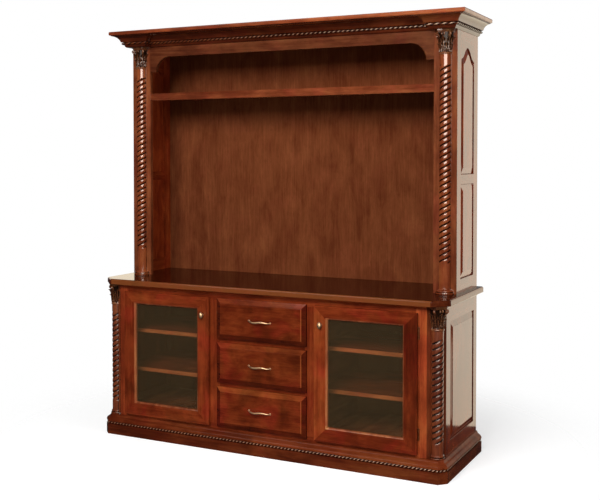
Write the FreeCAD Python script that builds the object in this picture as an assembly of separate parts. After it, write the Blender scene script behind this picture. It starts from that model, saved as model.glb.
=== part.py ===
import FreeCAD, Part
import math
import os
from FreeCAD import Vector

# Two-piece television armoire: a base with glazed doors and drawers, and a hutch with a display shelf.
# Millimetres, +X right, +Y to the back, +Z up. The origin is on the floor, under the middle of the box.

# Overall sizes
BODY_WIDTH = 1804.0
CASE_DEPTH = 538.0
TOP_HEIGHT = 809.0
TOTAL_HEIGHT = 2100.0
HUTCH_DEPTH = 326.0

# Boards
FRAME_T = 20.0
PARTITION_T = 18.0
DECK_T = 18.0
BACK_T = 6.0
EASE = 1.2

# Plinth
FASCIA_H = 52.0
ROPE_D = 14.0
PLINTH_OUT = 28.0
PLINTH_CANT = 34.0
PLINTH_T = 40.0
ROPE_SEAT = 12.0
PLINTH_MOULD_H = 34.0
PLINTH_LIP_H = 4.0
PLINTH_WAIST_H = 19.0
PLINTH_WAIST_IN = 12.0
PLINTH_LEDGE_IN = 22.0
PLINTH_OGEE_SAG = 2.2

# Console top and the moulding under it
TOP_T = 28.0
TOP_OUT_FRONT = 38.0
TOP_OUT_SIDE = 33.5
TOP_CANT = 65.0
TOP_ROUND = 9.0
BED_H = 15.0
BED_OUT = 24.0
BED_FOOT = 4.0
BED_LIP = 2.0
BED_SAG = 4.0
TRIM_GAP = 0.5

# Canted corners and their posts
CANT = 68.0
COLUMN_IN = 28.0
PILASTER_W = 60.0
POST_DEPTH = 80.0

# Face frame, doors and drawers
OUTER_STILE_W = 51.5
MULLION_W = 67.0
BOTTOM_RAIL_H = 60.0
TOP_RAIL_H = 45.0
OVERLAY = 12.0
DOOR_T = 18.0
DOOR_GAP = 2.2
DOOR_STILE_W = 61.0
DOOR_TOP_RAIL_H = 54.0
DOOR_BOTTOM_RAIL_H = 62.0
BEAD_W = 8.0
BEAD_DEPTH = 10.0
BEAD_SET_IN = 1.0
BEAD_EDGE = 3.0
BEAD_FLAT = 2.4
BEAD_SWELL = 1.0
GLASS_T = 4.0
GLASS_PLAY = 0.5
DRAWER_FRONT_W = 489.0
DRAWER_COUNT = 3
DRAWER_SPACE = 18.0
DRAWER_EDGE_T = 10.0
DRAWER_BEVEL = 24.0
FRONT_GAP = 0.4
BOX_T = 12.0
BOX_BOTTOM_T = 6.0
BOX_DEPTH = 480.0
BOX_PLAY = 2.0
BOX_HEADROOM = 16.0
RUN_GAP = 0.3
RUNNER_W = 52.0
GUIDE_H = 50.0
GUIDE_PLAY = 1.0

# Shelves behind the doors
SHELF_T = 22.0
SHELF_SETBACK = 84.0
SHELF_PLAY = 1.0
SHELVES_PER_BAY = 2
PIN_R = 2.5
PIN_IN = 9.0
PIN_OUT = 8.0
PIN_INSET = 30.0
FIT = 0.05

# Side frames and raised panels
SIDE_FRONT_STILE_W = 47.0
SIDE_BACK_STILE_W = 50.0
SIDE_BOTTOM_RAIL_H = 93.0
SIDE_TOP_RAIL_H = 82.0
PANEL_RIM_T = 7.0
PANEL_FIELD_T = 16.0
PANEL_STEP = 1.5
PANEL_BEVEL = 30.0
PANEL_PROUD = 2.0

# Columns and capitals
COLUMN_R = 27.5
NECK_R = 27.9
GROOVE_DEPTH = 4.0
TWIST_STARTS = 3
TWIST_RISE = 26.5
TWIST_STEPS = 8
BASE_FOOT_R = 35.0
HUTCH_FOOT_R = 44.0
FOOT_H = 24.0
FOOT_ROLL_H = 9.0
FOOT_ROLL_IN = 3.0
FOOT_ROLL_SWELL = 2.0
FOOT_SAG = 1.0
BASE_PLAIN_LOW = 54.0
BASE_PLAIN_HIGH = 57.0
BASE_CAPITAL_H = 110.0
HUTCH_PLAIN_LOW = 116.0
HUTCH_PLAIN_HIGH = 42.0
HUTCH_CAPITAL_H = 114.0
ASTRAGAL_H = 11.0
ASTRAGAL_R = 31.5
BELL_TOP_R = 39.0
BELL_SAG = 4.0
ABACUS_H = 13.0
ABACUS_HALF = 44.0
ABACUS_CLIP = 14.0

# Hutch
HUTCH_STILE_W = 112.0
HUTCH_SIDE_STILE_W = 59.0
HUTCH_BACK_STILE_W = 63.0
HUTCH_BOTTOM_RAIL_H = 63.0
HUTCH_LOWER_PANEL_H = 440.0
HUTCH_MID_RAIL_H = 45.0
HUTCH_TOP_RAIL_H = 70.0
ARCH_RISE = 59.0
ARCH_SHOULDER_W = 5.0
ARCH_SAG = 5.0
DISPLAY_BAY_H = 192.0
DISPLAY_SHELF_T = 22.0
DISPLAY_EDGE_H = 38.0
DISPLAY_EDGE_SET_IN = 2.0
VALANCE_RAIL_H = 52.0
VALANCE_DROP = 80.0
VALANCE_FOOT_W = 37.0
DOWEL_R = 5.0
DOWEL_IN_TOP = 15.0
DOWEL_IN_RAIL = 25.0
DOWEL_INSET = 90.0

# Crown
CROWN_H = 80.0
CAP_T = 19.0
CAP_ROUND = 5.0
CAP_OUT = 71.0
COVE_OUT = 62.0
CROWN_BREAK = 47.0
CROWN_BEAD_H = 12.0
CROWN_BEAD_FOOT = 3.0
CROWN_BEAD_OUT = 12.0
CROWN_BEAD_SWELL = 2.0
CROWN_FILLET = 1.0
COVE_START_OUT = 26.0
COVE_LIP = 3.0
COVE_SAG = 7.8

# Hardware
PULL_SPAN = 116.0
PULL_OUT = 28.0
PULL_R = 4.0
PULL_FOOT_R = 7.5
PULL_FOOT_T = 2.0
KNOB_W = 20.0
KNOB_H = 32.0
KNOB_DEPTH = 16.0
KNOB_STEM_R = 5.0
KNOB_STEM_L = 14.0
KNOB_ROSE_R = 8.0
KNOB_ROSE_T = 2.5
KNOB_BELOW_TOP = 89.0
KNOB_FROM_EDGE = 35.0
HINGE_H = 50.0
HINGE_SPREAD = 226.0
KNUCKLE_H = 24.0
KNUCKLE_GAP = 0.25
BARREL_R = 3.2
HINGE_OUT = 4.0
HINGE_PIN_R = 1.5
HINGE_HEAD_R = 2.6
HINGE_HEAD_H = 2.0
LEAF_T = 0.9
LEAF_W = 24.0
CATCH_W = 40.0
CATCH_H = 18.0
CATCH_DEPTH = 18.0
CATCH_GAP = 0.3
STRIKE_T = 1.0
CABLE_HOLE_R = 30.0
CABLE_HOLE_INSET = 70.0

# Places worked out from the sizes
HALF = BODY_WIDTH / 2
FRONT_REACH = DOOR_GAP + DOOR_T + PULL_OUT
BACK_Y = (CASE_DEPTH + FRONT_REACH) / 2
FACE_Y = BACK_Y - CASE_DEPTH
FRONT_Y = FACE_Y - DOOR_GAP - DOOR_T
CASE_Z = FASCIA_H + ROPE_D
CASE_TOP_Z = TOP_HEIGHT - TOP_T
LEDGE_Z = CASE_Z + PLINTH_MOULD_H
DECK_Z = CASE_Z + BOTTOM_RAIL_H
OPENING_TOP_Z = CASE_TOP_Z - TOP_RAIL_H
INNER_X = HALF - FRAME_T
PANEL_BACK_Y = BACK_Y - BACK_T
STILE_X = HALF - CANT
OPENING_OUT_X = STILE_X - OUTER_STILE_W
DRAWER_HALF = DRAWER_FRONT_W / 2 - OVERLAY
OPENING_IN_X = DRAWER_HALF + MULLION_W
PARTITION_X = (DRAWER_HALF + OPENING_IN_X - PARTITION_T) / 2
DOOR_IN_X = OPENING_IN_X - OVERLAY
DOOR_OUT_X = OPENING_OUT_X + OVERLAY
DOOR_Z0 = DECK_Z - OVERLAY
DOOR_Z1 = OPENING_TOP_Z + OVERLAY
DOOR_MID_Z = (DOOR_Z0 + DOOR_Z1) / 2
DRAWER_H = (DOOR_Z1 - DOOR_Z0 - (DRAWER_COUNT - 1) * DRAWER_SPACE) / DRAWER_COUNT
DRAWER_PITCH = DRAWER_H + DRAWER_SPACE
HUTCH_Y = BACK_Y - HUTCH_DEPTH
HUTCH_STILE_X = HALF - HUTCH_STILE_W
CAP_Z = TOTAL_HEIGHT - CAP_T
CROWN_BOTTOM_Z = TOTAL_HEIGHT - CROWN_H
VALANCE_SOFFIT_Z = CROWN_BOTTOM_Z - VALANCE_RAIL_H
VALANCE_FOOT_Z = VALANCE_SOFFIT_Z - VALANCE_DROP
DISPLAY_SHELF_Z = VALANCE_SOFFIT_Z - DISPLAY_BAY_H
HUTCH_MID_RAIL_Z = TOP_HEIGHT + HUTCH_BOTTOM_RAIL_H + HUTCH_LOWER_PANEL_H
SHOULDER_Z = CROWN_BOTTOM_Z - HUTCH_TOP_RAIL_H - ARCH_RISE
HINGE_X = DOOR_OUT_X + HINGE_OUT
HINGE_Y = FACE_Y - HINGE_OUT
SHELF_FRONT_Y = FACE_Y + SHELF_SETBACK
SHELF_BACK_Y = PANEL_BACK_Y - SHELF_PLAY
SHELF_PITCH = (OPENING_TOP_Z - DECK_Z) / (SHELVES_PER_BAY + 1)
COLUMN_X = HALF - HUTCH_STILE_W / 2


def box(x0, x1, y0, y1, z0, z1):
    return Part.makeBox(x1 - x0, y1 - y0, z1 - z0, Vector(x0, y0, z0))


def prism(points, z0, z1):
    loop = [Vector(x, y, z0) for x, y in points]
    face = Part.Face(Part.makePolygon(loop + loop[:1]))
    return face.extrude(Vector(0, 0, z1 - z0))


def mirrored(shape):
    return shape.mirror(Vector(0, 0, 0), Vector(1, 0, 0))


def both(*shapes):
    return list(shapes) + [mirrored(shape) for shape in shapes]


def moved(shape, x=0.0, y=0.0, z=0.0):
    copy = shape.copy()
    copy.translate(Vector(x, y, z))
    return copy


def fused(shapes):
    return shapes[0].multiFuse(shapes[1:]).removeSplitter()


def on_plane(edge, axis, value):
    return all(abs(vertex.Point[axis] - value) < 1e-4 for vertex in edge.Vertexes)


def eased(shape, planes, size=EASE):
    """Chamfers the edges where two of the planes (axis, value) meet."""
    edges = [e for e in shape.Edges if sum(on_plane(e, axis, value) for axis, value in planes) >= 2]
    return shape.makeChamfer(size, edges)


def to_front(shape, y):
    """Stands a shape drawn flat up, so that its own +Z faces the front at the plane y."""
    copy = shape.copy()
    copy.rotate(Vector(0, 0, 0), Vector(1, 0, 0), 90)
    copy.translate(Vector(0, y, 0))
    return copy


def to_right(shape, x):
    """Stands a shape drawn flat up, so that its own X, Y and Z point back, up and right, at the plane x."""
    copy = shape.copy()
    copy.rotate(Vector(0, 0, 0), Vector(1, 1, 1), 120)
    copy.translate(Vector(x, 0, 0))
    return copy


def wire_of(profile, place):
    """A closed wire: each step of the profile is a point, or a middle point and an end point of an arc."""
    start = place(*profile[0])
    at = start
    edges = []
    for step in profile[1:]:
        if isinstance(step[0], tuple):
            middle = place(*step[0])
            end = place(*step[1])
            edges.append(Part.Arc(at, middle, end).toShape())
        else:
            end = place(*step)
            edges.append(Part.makeLine(at, end))
        at = end
    if (at - start).Length > 1e-6:
        edges.append(Part.makeLine(at, start))
    return Part.Wire(edges)


def bowed(start, end, sag):
    """An arc step for a profile. Its middle stands off the straight line by sag, to the left of the way."""
    across, up = end[0] - start[0], end[1] - start[1]
    length = math.hypot(across, up)
    middle = ((start[0] + end[0]) / 2 - sag * up / length, (start[1] + end[1]) / 2 + sag * across / length)
    return middle, end


def corners_of(profile):
    points = []
    for step in profile:
        points.extend(step if isinstance(step[0], tuple) else [step])
    return points


def mitred_run(path, profile, closed=False):
    """Mitred lengths of a moulding. The path is flat, with the profile's outer side on its right."""
    outs = [u for u, z in corners_of(profile)]
    heights = [z for u, z in corners_of(profile)]
    low, high = min(outs) - 1, max(outs) + 1
    over = 2 * (high - low)
    count = len(path) if closed else len(path) - 1
    points = [Vector(x, y, 0) for x, y in path]
    spans = [points[(i + 1) % len(points)] - points[i] for i in range(count)]
    ways = [span / span.Length for span in spans]
    normals = [Vector(way.y, -way.x, 0) for way in ways]
    lengths = []
    for i in range(count):
        start, way, normal = points[i], ways[i], normals[i]
        end = start + spans[i]

        def mitre(other):
            return (normal + other) / (1 + normal.dot(other))

        first = mitre(normals[i - 1]) if closed or i > 0 else normal
        last = mitre(normals[(i + 1) % count]) if closed or i < count - 1 else normal
        tail = start - way * over
        section = wire_of(profile, lambda u, z: tail + normal * u + Vector(0, 0, z))
        bar = Part.Face(section).extrude(way * (spans[i].Length + 2 * over))
        keep = [start + first * low, end + last * low, end + last * high, start + first * high]
        mask = prism([(p.x, p.y) for p in keep], min(heights) - 1, max(heights) + 1)
        lengths.append(bar.common(mask).Solids[0])
    return lengths


def half_round(back, z0, diameter):
    """Profile of a bead with a flat back, as high as its diameter."""
    radius = diameter / 2
    low, high = (back + radius / 2, z0), (back + radius / 2, z0 + diameter)
    return [(back, z0), low, bowed(low, high, -radius), (back, z0 + diameter)]


def rectangle(a0, a1, b0, b1):
    return [(a0, b0), (a1, b0), (a1, b1), (a0, b1)]


def raised_panel(profile, bevel, rim, field, step):
    """A panel drawn flat, face up: a thin rim, a bevel all round and a raised field."""
    def outline(z):
        return wire_of(profile, lambda a, b: Vector(a, b, z))

    def inset(z):
        wire = outline(0).makeOffset2D(-bevel, 2, False, False)
        wire.translate(Vector(0, 0, z))
        return wire

    plate = Part.Face(outline(0)).extrude(Vector(0, 0, rim))
    slope = Part.makeLoft([outline(rim), inset(field - step)], True, True)
    raised = Part.Face(inset(field - step)).extrude(Vector(0, 0, step))
    return fused([plate, slope, raised])


def turned_half(profile):
    """Half a turned piece: the profile (radius, height) goes round the front, the flat back is at y = 0."""
    face = Part.Face(wire_of(profile, lambda r, z: Vector(r, 0, z)))
    return face.revolve(Vector(0, 0, 0), Vector(0, 0, 1), -180)


def lobed_wire(angle, z):
    """Section of the rope twist: one bulging arc for each strand."""
    edges = []
    for strand in range(TWIST_STARTS):
        points = []
        for part, radius in ((0, COLUMN_R - GROOVE_DEPTH), (0.5, COLUMN_R), (1, COLUMN_R - GROOVE_DEPTH)):
            a = angle + (strand + part) * 2 * math.pi / TWIST_STARTS
            points.append(Vector(radius * math.cos(a), radius * math.sin(a), z))
        edges.append(Part.Arc(*points).toShape())
    return Part.Wire(edges)


def twisted_half(z0, z1):
    """Right-handed rope twist, front half only. One strand's rise is made once, then stacked and sewn."""
    count = max(1, round((z1 - z0) / TWIST_RISE))
    rise = (z1 - z0) / count
    turn = 2 * math.pi / TWIST_STARTS
    wires = [lobed_wire(turn * i / TWIST_STEPS, rise * i / TWIST_STEPS) for i in range(TWIST_STEPS + 1)]
    reach = 2 * COLUMN_R
    piece = Part.makeLoft(wires, True, False).common(box(-reach, reach, -reach, 0, 0, rise))
    flat = [face for face in piece.Faces if face.BoundBox.ZLength < 1e-3]
    walls = [face for face in piece.Faces if face.BoundBox.ZLength >= 1e-3]
    faces = [moved(face, z=z0 + rise * i) for i in range(count) for face in walls]
    faces += [moved(face, z=z0) for face in flat if face.BoundBox.ZMin < rise / 2]
    faces += [moved(face, z=z1 - rise) for face in flat if face.BoundBox.ZMin > rise / 2]
    skin = Part.Compound(faces)
    skin.sewShape(1e-4)
    return Part.Solid(Part.Shell(skin.Faces))


def half_column(foot_r, plain_low, plain_high, z0, z1):
    """Foot of two rolls, twisted shaft and neck of a half-column, round side to the front."""
    twist_low = z0 + FOOT_H + plain_low
    twist_high = z1 - plain_high
    lower = [(foot_r - FOOT_ROLL_SWELL, z0), (foot_r - FOOT_ROLL_SWELL, z0 + FOOT_ROLL_H)]
    upper = [(lower[0][0] - FOOT_ROLL_IN, lower[1][1]), (lower[0][0] - FOOT_ROLL_IN, lower[1][1] + FOOT_ROLL_H)]
    shoulder, shaft = (upper[1][0] - FOOT_ROLL_SWELL, upper[1][1]), (NECK_R, z0 + FOOT_H)
    foot = turned_half([
        (0, z0), lower[0], bowed(lower[0], lower[1], -FOOT_ROLL_SWELL), upper[0],
        bowed(upper[0], upper[1], -FOOT_ROLL_SWELL), shoulder, bowed(shoulder, shaft, FOOT_SAG),
        (NECK_R, twist_low), (0, twist_low)])
    neck = turned_half([(0, twist_high), (NECK_R, twist_high), (NECK_R, z1), (0, z1)])
    return [foot, twisted_half(twist_low, twist_high), neck]


def half_capital(height, z1):
    """Plain bell under a clipped square slab, over a turned ring."""
    z0 = z1 - height
    slab_z = z1 - ABACUS_H
    neck, waist, lip = (NECK_R, z0), (NECK_R, z0 + ASTRAGAL_H), (BELL_TOP_R, slab_z)
    bell = turned_half([
        (0, z0), neck, bowed(neck, waist, NECK_R - ASTRAGAL_R), bowed(waist, lip, BELL_SAG), (0, slab_z)])
    edge = ABACUS_HALF - ABACUS_CLIP
    slab = prism([(-ABACUS_HALF, 0), (-ABACUS_HALF, -edge), (-edge, -ABACUS_HALF), (edge, -ABACUS_HALF),
                  (ABACUS_HALF, -edge), (ABACUS_HALF, 0)], slab_z, z1)
    return fused([bell, slab])


def on_cant(shape, side):
    """Turns a half-column to its canted corner: side is +1 on the right and -1 on the left."""
    copy = shape.copy()
    copy.rotate(Vector(0, 0, 0), Vector(0, 0, 1), 45 * side)
    copy.translate(Vector(side * (HALF - COLUMN_IN), FACE_Y + COLUMN_IN, 0))
    return copy


def canted_path(out_front, out_side, cant):
    """From the back on the left, round the two clipped front corners, to the back on the right."""
    x = HALF + out_side
    y = FACE_Y - out_front
    return [(-x, BACK_Y), (-x, y + cant), (cant - x, y), (x - cant, y), (x, y + cant), (x, BACK_Y)]


def plinth():
    path = canted_path(PLINTH_OUT, PLINTH_OUT, PLINTH_CANT)
    board = [
        (0, 0), (0, FASCIA_H), (-ROPE_SEAT, FASCIA_H), (-ROPE_SEAT, CASE_Z), (-PLINTH_T, CASE_Z),
        (-PLINTH_T, 0)]
    inside = HALF + PLINTH_OUT - PLINTH_T
    back = box(-inside, inside, BACK_Y - FRAME_T, BACK_Y, 0, CASE_Z)
    lip = (0, CASE_Z + PLINTH_LIP_H)
    waist = (-PLINTH_WAIST_IN, CASE_Z + PLINTH_WAIST_H)
    ledge = (-PLINTH_LEDGE_IN, LEDGE_Z)
    moulding = [
        (-PLINTH_OUT, CASE_Z), (0, CASE_Z), lip, bowed(lip, waist, -PLINTH_OGEE_SAG),
        bowed(waist, ledge, PLINTH_OGEE_SAG), (-PLINTH_OUT, LEDGE_Z)]
    return {
        "plinth_boards": mitred_run(path, board) + [back],
        "plinth_rope": mitred_run(path, half_round(-ROPE_SEAT, FASCIA_H, ROPE_D)),
        "plinth_moulding": mitred_run(path, moulding),
    }


def corner_blocks():
    """Fill the clipped corners behind the plinth moulding, and carry the columns."""
    lean = PLINTH_OUT * math.tan(math.radians(22.5))
    near = HALF + PLINTH_OUT - PLINTH_CANT - lean
    far = FACE_Y - PLINTH_OUT + PLINTH_CANT + lean
    corners = [(STILE_X, FACE_Y), (near, FACE_Y), (HALF, far), (HALF, FACE_Y + CANT)]
    return both(prism(corners, CASE_Z, LEDGE_Z))


def corner_posts():
    """Clipped posts. A flat strip on the cant brings its face out to the back of the half-column."""
    y1 = FACE_Y + POST_DEPTH
    post = prism([(STILE_X, FACE_Y), (HALF, FACE_Y + CANT), (HALF, y1), (STILE_X, y1)], CASE_Z, CASE_TOP_Z)
    depth = (CANT - 2 * COLUMN_IN) * math.sqrt(0.5)
    strip = box(-PILASTER_W / 2, PILASTER_W / 2, 0, depth, LEDGE_Z, CASE_TOP_Z)
    return both(fused([post, on_cant(strip, 1)]))


def face_frame():
    y0, y1 = FACE_Y, FACE_Y + FRAME_T
    stile = box(OPENING_OUT_X, STILE_X, y0, y1, CASE_Z, CASE_TOP_Z)
    mullion = box(DRAWER_HALF, OPENING_IN_X, y0, y1, DECK_Z, OPENING_TOP_Z)
    rails = [
        box(-OPENING_OUT_X, OPENING_OUT_X, y0, y1, CASE_Z, DECK_Z),
        box(-OPENING_OUT_X, OPENING_OUT_X, y0, y1, OPENING_TOP_Z, CASE_TOP_Z),
    ]
    between = [
        box(-DRAWER_HALF, DRAWER_HALF, y0, y1, low, high) for low, high in drawer_rail_heights()
    ]
    return {
        "face_frame_stiles": both(stile),
        "face_frame_mullions": both(mullion),
        "face_frame_rails": rails,
        "drawer_rails": between,
    }


def drawer_rail_heights():
    heights = []
    for i in range(1, DRAWER_COUNT):
        front_z = DOOR_Z0 + i * DRAWER_PITCH
        heights.append((front_z - DRAWER_SPACE - OVERLAY, front_z + OVERLAY))
    return heights


def base_side_frame():
    """The right side's stiles and rails, with blind holes for the shelf pins."""
    front = FACE_Y + POST_DEPTH
    y0, y1 = front + SIDE_FRONT_STILE_W, BACK_Y - SIDE_BACK_STILE_W
    z0, z1 = CASE_Z + SIDE_BOTTOM_RAIL_H, CASE_TOP_Z - SIDE_TOP_RAIL_H
    boards = [
        box(INNER_X, HALF, front, y0, CASE_Z, CASE_TOP_Z), box(INNER_X, HALF, y1, BACK_Y, CASE_Z, CASE_TOP_Z),
        box(INNER_X, HALF, y0, y1, CASE_Z, z0), box(INNER_X, HALF, y0, y1, z1, CASE_TOP_Z)]
    return [board.cut(Part.Compound(pin_holes(INNER_X, 1))) for board in boards]


def base_side_panel():
    y0 = FACE_Y + POST_DEPTH + SIDE_FRONT_STILE_W
    y1 = BACK_Y - SIDE_BACK_STILE_W
    outline = rectangle(y0, y1, CASE_Z + SIDE_BOTTOM_RAIL_H, CASE_TOP_Z - SIDE_TOP_RAIL_H)
    panel = raised_panel(outline, PANEL_BEVEL, PANEL_RIM_T, PANEL_FIELD_T, PANEL_STEP)
    return to_right(panel, HALF + PANEL_PROUD - PANEL_FIELD_T)


def deck():
    y0, notch = FACE_Y + FRAME_T, FACE_Y + POST_DEPTH
    return prism([(-STILE_X, y0), (STILE_X, y0), (STILE_X, notch), (INNER_X, notch), (INNER_X, PANEL_BACK_Y),
                  (-INNER_X, PANEL_BACK_Y), (-INNER_X, notch), (-STILE_X, notch)], DECK_Z - DECK_T, DECK_Z)


def partition():
    board = box(PARTITION_X, PARTITION_X + PARTITION_T, FACE_Y + FRAME_T, PANEL_BACK_Y, DECK_Z, CASE_TOP_Z)
    return board.cut(Part.Compound(pin_holes(PARTITION_X + PARTITION_T, -1)))


def cable_hole(x, z):
    return Part.makeCylinder(CABLE_HOLE_R, 3 * BACK_T, Vector(x, BACK_Y - 2 * BACK_T, z), Vector(0, 1, 0))


def base_back_panels():
    seam = PARTITION_X + PARTITION_T / 2
    side = box(seam, INNER_X, PANEL_BACK_Y, BACK_Y, CASE_Z, CASE_TOP_Z)
    side = side.cut(cable_hole((PARTITION_X + PARTITION_T + INNER_X) / 2, DOOR_MID_Z))
    return both(side) + [box(-seam, seam, PANEL_BACK_Y, BACK_Y, CASE_Z, CASE_TOP_Z)]


def console_top():
    path = canted_path(TOP_OUT_FRONT, TOP_OUT_SIDE, TOP_CANT)
    slab = prism(path, CASE_TOP_Z, TOP_HEIGHT)
    front = [e for e in slab.Edges if on_plane(e, 2, TOP_HEIGHT) and not on_plane(e, 1, BACK_Y)]
    slab = slab.makeFillet(TOP_ROUND, front)
    low = [e for e in slab.Edges if on_plane(e, 2, CASE_TOP_Z) and not on_plane(e, 1, BACK_Y)]
    slab = slab.makeChamfer(2 * EASE, low)
    return slab.cut(Part.Compound(dowels(FIT)))


def top_moulding():
    """A small cove under the top, along the front and both sides, clear of the columns."""
    z0 = CASE_TOP_Z - BED_H
    foot, lip = (BED_FOOT, z0), (BED_OUT, CASE_TOP_Z - BED_LIP)
    cove = [(0, z0), foot, bowed(foot, lip, BED_SAG), (BED_OUT, CASE_TOP_Z), (0, CASE_TOP_Z)]
    room = max(CANT, COLUMN_IN + ABACUS_HALF * math.sqrt(0.5) + TRIM_GAP)
    front = mitred_run([(room - HALF, FACE_Y), (HALF - room, FACE_Y)], cove)
    return front + both(mitred_run([(HALF, FACE_Y + room), (HALF, BACK_Y)], cove)[0])


def pin_places():
    heights = [DECK_Z + SHELF_PITCH * (i + 1) - SHELF_T / 2 - PIN_R - 2 * FIT for i in range(SHELVES_PER_BAY)]
    return [(y, z) for y in (SHELF_FRONT_Y + PIN_INSET, SHELF_BACK_Y - PIN_INSET) for z in heights]


def pin_holes(x, way):
    """Blind holes from the face at x, into the board on its side way."""
    depth = PIN_IN + 2 * FIT
    radius = PIN_R + FIT
    return [Part.makeCylinder(radius, depth, Vector(x, y, z), Vector(way, 0, 0)) for y, z in pin_places()]


def shelf_pins():
    pins = []
    for x, way in ((INNER_X, 1), (PARTITION_X + PARTITION_T, -1)):
        for y, z in pin_places():
            start = Vector(x - way * PIN_OUT, y, z)
            pins.append(Part.makeCylinder(PIN_R, PIN_OUT + PIN_IN, start, Vector(way, 0, 0)))
    return both(*pins)


def adjustable_shelves():
    x0, x1 = PARTITION_X + PARTITION_T + SHELF_PLAY, INNER_X - SHELF_PLAY
    shelves = []
    for i in range(SHELVES_PER_BAY):
        z0 = DECK_Z + SHELF_PITCH * (i + 1) - SHELF_T / 2
        shelf = box(x0, x1, SHELF_FRONT_Y, SHELF_BACK_Y, z0, z0 + SHELF_T)
        shelves.append(eased(shelf, [(1, SHELF_FRONT_Y), (2, z0), (2, z0 + SHELF_T)], 2 * EASE))
    return both(*shelves)


def drawer_runners():
    """Strips behind the drawer rails. Each carries the drawer over it and holds down the one under it."""
    x0 = PARTITION_X - RUNNER_W
    levels = drawer_rail_heights() + [(OPENING_TOP_Z, CASE_TOP_Z)]
    strips = [box(x0, PARTITION_X, FACE_Y + FRAME_T, PANEL_BACK_Y, low, high) for low, high in levels]
    return both(*strips)


def drawer_guides():
    x0 = DRAWER_HALF - BOX_PLAY + GUIDE_PLAY
    floors = [DECK_Z] + [high for low, high in drawer_rail_heights()]
    return both(*[box(x0, PARTITION_X, FACE_Y + FRAME_T, PANEL_BACK_Y, z, z + GUIDE_H) for z in floors])


def drawer_front(z0):
    half = DRAWER_FRONT_W / 2
    thick = FACE_Y - FRONT_GAP - FRONT_Y
    outline = rectangle(-half, half, z0, z0 + DRAWER_H)
    panel = raised_panel(outline, DRAWER_BEVEL, DRAWER_EDGE_T, thick, PANEL_STEP)
    return to_front(panel, FACE_Y - FRONT_GAP)


def drawer_box(z0):
    half = DRAWER_HALF - BOX_PLAY
    y0 = FACE_Y - FRONT_GAP
    y1 = y0 + BOX_DEPTH
    low = z0 + OVERLAY + RUN_GAP
    high = z0 + DRAWER_H - OVERLAY - BOX_HEADROOM
    side = box(half - BOX_T, half, y0, y1, low, high)
    floor = low + BOX_T
    inner = half - BOX_T
    return both(side) + [
        box(-inner, inner, y0, y0 + BOX_T, low, high), box(-inner, inner, y1 - BOX_T, y1, low, high),
        box(-inner, inner, y0 + BOX_T, y1 - BOX_T, floor, floor + BOX_BOTTOM_T)]


def drawer_pull(z):
    """A bow from foot to foot, with a finger gap behind it."""
    rise = PULL_OUT - PULL_R
    radius = ((PULL_SPAN / 2) ** 2 + rise ** 2) / (2 * rise)
    bow = Part.makeTorus(radius, PULL_R, Vector(0, FRONT_Y - rise + radius, z), Vector(0, 0, 1))
    bow = bow.common(box(-PULL_SPAN, PULL_SPAN, FRONT_Y - 2 * PULL_OUT, FRONT_Y, z - PULL_OUT, z + PULL_OUT))
    feet = [
        Part.makeCylinder(PULL_FOOT_R, PULL_FOOT_T, Vector(x, FRONT_Y, z), Vector(0, -1, 0))
        for x in (-PULL_SPAN / 2, PULL_SPAN / 2)]
    return fused([bow] + feet)


def door_frame():
    """The right door's stiles and rails."""
    y1 = FACE_Y - DOOR_GAP
    x0, x1 = DOOR_IN_X + DOOR_STILE_W, DOOR_OUT_X - DOOR_STILE_W
    boards = [
        box(DOOR_IN_X, x0, FRONT_Y, y1, DOOR_Z0, DOOR_Z1), box(x1, DOOR_OUT_X, FRONT_Y, y1, DOOR_Z0, DOOR_Z1),
        box(x0, x1, FRONT_Y, y1, DOOR_Z0, DOOR_Z0 + DOOR_BOTTOM_RAIL_H),
        box(x0, x1, FRONT_Y, y1, DOOR_Z1 - DOOR_TOP_RAIL_H, DOOR_Z1)]
    rim = [(1, FRONT_Y), (0, DOOR_IN_X), (0, DOOR_OUT_X), (2, DOOR_Z0), (2, DOOR_Z1)]
    eased_boards = []
    for board in boards:
        edges = [e for e in board.Edges
                 if on_plane(e, *rim[0]) and any(on_plane(e, *side) for side in rim[1:])]
        eased_boards.append(board.makeChamfer(2 * EASE, edges))
    return eased_boards


def door_opening():
    return (DOOR_IN_X + DOOR_STILE_W, DOOR_OUT_X - DOOR_STILE_W,
            DOOR_Z0 + DOOR_BOTTOM_RAIL_H, DOOR_Z1 - DOOR_TOP_RAIL_H)


def door_beads():
    """Rounded beads in front of the glass and flat ones behind it."""
    x0, x1, z0, z1 = door_opening()
    path = [(x0, z0), (x0, z1), (x1, z1), (x1, z0)]
    edge, flat = (BEAD_W, BEAD_EDGE), (BEAD_FLAT, BEAD_DEPTH)
    front = [(0, 0), (BEAD_W, 0), edge, bowed(edge, flat, -BEAD_SWELL), (0, BEAD_DEPTH)]
    glass_front = FRONT_Y + BEAD_SET_IN + BEAD_DEPTH
    glass_back = glass_front + GLASS_T
    back = rectangle(0, BEAD_W, 0, FACE_Y - DOOR_GAP - glass_back)
    beads = [to_front(length, glass_front) for length in mitred_run(path, front, closed=True)]
    return beads + [to_front(length, FACE_Y - DOOR_GAP) for length in mitred_run(path, back, closed=True)]


def door_glass():
    x0, x1, z0, z1 = door_opening()
    y0 = FRONT_Y + BEAD_SET_IN + BEAD_DEPTH
    return box(x0 + GLASS_PLAY, x1 - GLASS_PLAY, y0, y0 + GLASS_T, z0 + GLASS_PLAY, z1 - GLASS_PLAY)


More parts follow.
